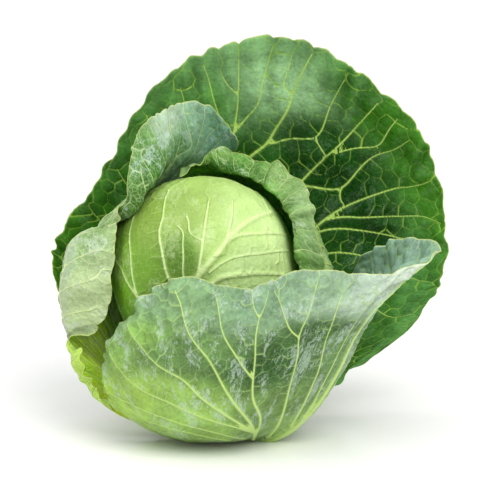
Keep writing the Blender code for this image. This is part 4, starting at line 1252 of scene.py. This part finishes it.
# Each leaf: its shape, then its skin. The ruffle is wave size, wave length and lobe depth in mm, puff
# and mesh_size are in mm, direction says which way the ribs' normals go, and midrib is its u.
LEAVES = [
    (dict(name="front_leaf", ribs=FRONT_RIBS, veins=FRONT_VEINS, direction=-1, midrib=0.68,
          tones=FRONT_TONES, inner_tones=FRONT_INNER_TONES, grid=(360, 125),
          ruffle=(3.0, 24.0, 2.5), puff=5.5, mesh_size=10.5, seed=101),
     dict(vein_colour=(0.54, 0.74, 0.22, 1), vein_amount=0.85, net_colour=(0.38, 0.57, 0.19, 1),
          net_amount=0.65, mesh_amount=0.12, mottle=0.35, bloom_colour=(0.52, 0.64, 0.55, 1),
          bloom_amount=0.55, plain_roughness=0.46, vein_rise=0.5,
          inner=dict(vein_rise=-0.3, bloom_amount=0.25))),
    (dict(name="back_leaf", ribs=BACK_RIBS, veins=BACK_VEINS, direction=-1, midrib=0.52,
          tones=BACK_TONES, inner_tones=BACK_INNER_TONES, grid=(420, 108),
          ruffle=(3.6, 22.0, 4.5), puff=3.0, mesh_size=14.0, seed=202),
     # On the back leaf the bloom mostly paints its pale sheen patches.
     dict(coat=0.0, gloss=0.12, vein_colour=(0.42, 0.56, 0.22, 1), vein_amount=0.8,
          net_colour=(0.34, 0.5, 0.2, 1), net_amount=0.8, mesh_amount=0.3, mottle=0.35,
          bloom_colour=(0.50, 0.62, 0.50, 1), bloom_amount=0.45,
          margin_colour=(0.50, 0.60, 0.16, 1), plain_roughness=0.46, vein_rise=0.5,
          inner=dict(vein_colour=(0.42, 0.64, 0.13, 1), vein_amount=0.95,
                     net_colour=(0.30, 0.52, 0.07, 1), net_amount=0.9, mesh_amount=0.04,
                     mottle=0.4, bloom_colour=(0.26, 0.45, 0.24, 1), bloom_amount=0.15,
                     plain_roughness=0.34, vein_rise=-0.4))),
    (dict(name="left_leaf", ribs=LEFT_RIBS, veins=LEFT_VEINS, direction=1, midrib=0.5,
          tones=LEFT_TONES, inner_tones=LEFT_INNER_TONES, grid=(300, 150),
          ruffle=(2.6, 22.0, 2.5), puff=3.0, mesh_size=11.0, seed=303),
     dict(vein_colour=(0.66, 0.80, 0.34, 1), vein_amount=0.85, net_colour=(0.60, 0.74, 0.36, 1),
          net_amount=0.8, mesh_amount=0.3, mottle=0.3, bloom_colour=(0.64, 0.74, 0.62, 1),
          bloom_amount=0.55, plain_roughness=0.46, vein_rise=0.5,
          inner=dict(vein_rise=-0.3, vein_colour=(0.56, 0.74, 0.33, 1),
                     net_colour=(0.48, 0.66, 0.30, 1), bloom_colour=(0.50, 0.64, 0.58, 1),
                     bloom_amount=0.6))),
    (dict(name="right_curled_leaf", ribs=CURLED_RIBS, veins=CURLED_VEINS, direction=1, midrib=0.5,
          tones=CURLED_TONES, inner_tones=CURLED_INNER_TONES, grid=(260, 175),
          ruffle=(3.0, 21.0, 2.0), puff=1.6, mesh_size=9.5, seed=404),
     dict(vein_colour=(0.46, 0.60, 0.22, 1), vein_amount=0.75, net_colour=(0.36, 0.5, 0.2, 1),
          net_amount=0.8, mesh_amount=0.3, mottle=0.35, bloom_colour=(0.55, 0.68, 0.5, 1),
          bloom_amount=0.35, plain_roughness=0.42, vein_rise=0.5, inner=dict(vein_rise=-0.3))),
    (dict(name="lower_left_leaf", ribs=LOWER_LEFT_RIBS, veins=LOWER_LEFT_VEINS, direction=-1,
          midrib=0.40, tones=LOWER_LEFT_TONES, inner_tones=LOWER_LEFT_INNER_TONES,
          grid=(130, 150), ruffle=(3.0, 13.0, 1.5), puff=1.2, mesh_size=8.0, seed=505),
     dict(vein_colour=(0.72, 0.90, 0.32, 1), vein_amount=0.7, net_colour=(0.42, 0.56, 0.12, 1),
          net_amount=0.5, mesh_amount=0.2, mottle=0.2, bloom_colour=(0.58, 0.7, 0.5, 1),
          bloom_amount=0.2, margin_colour=(0.6, 0.7, 0.16, 1), plain_roughness=0.42,
          vein_rise=0.5, inner=dict(vein_rise=-0.3))),
]
for shape, skin in LEAVES:
    leaf(**shape, material=leaf_skin(shape["name"] + "_skin", **skin))
head(leaf_skin("head_skin", vein_colour=(0.66, 0.84, 0.36, 1), vein_amount=0.85,
               net_colour=(0.48, 0.68, 0.20, 1), net_amount=0.5, mesh_amount=0.15, mottle=0.12,
               bloom_colour=(0.72, 0.84, 0.5, 1), bloom_amount=0.25, plain_roughness=0.40,
               vein_rise=0.4))
stalk(stalk_material())
floor()
studio()
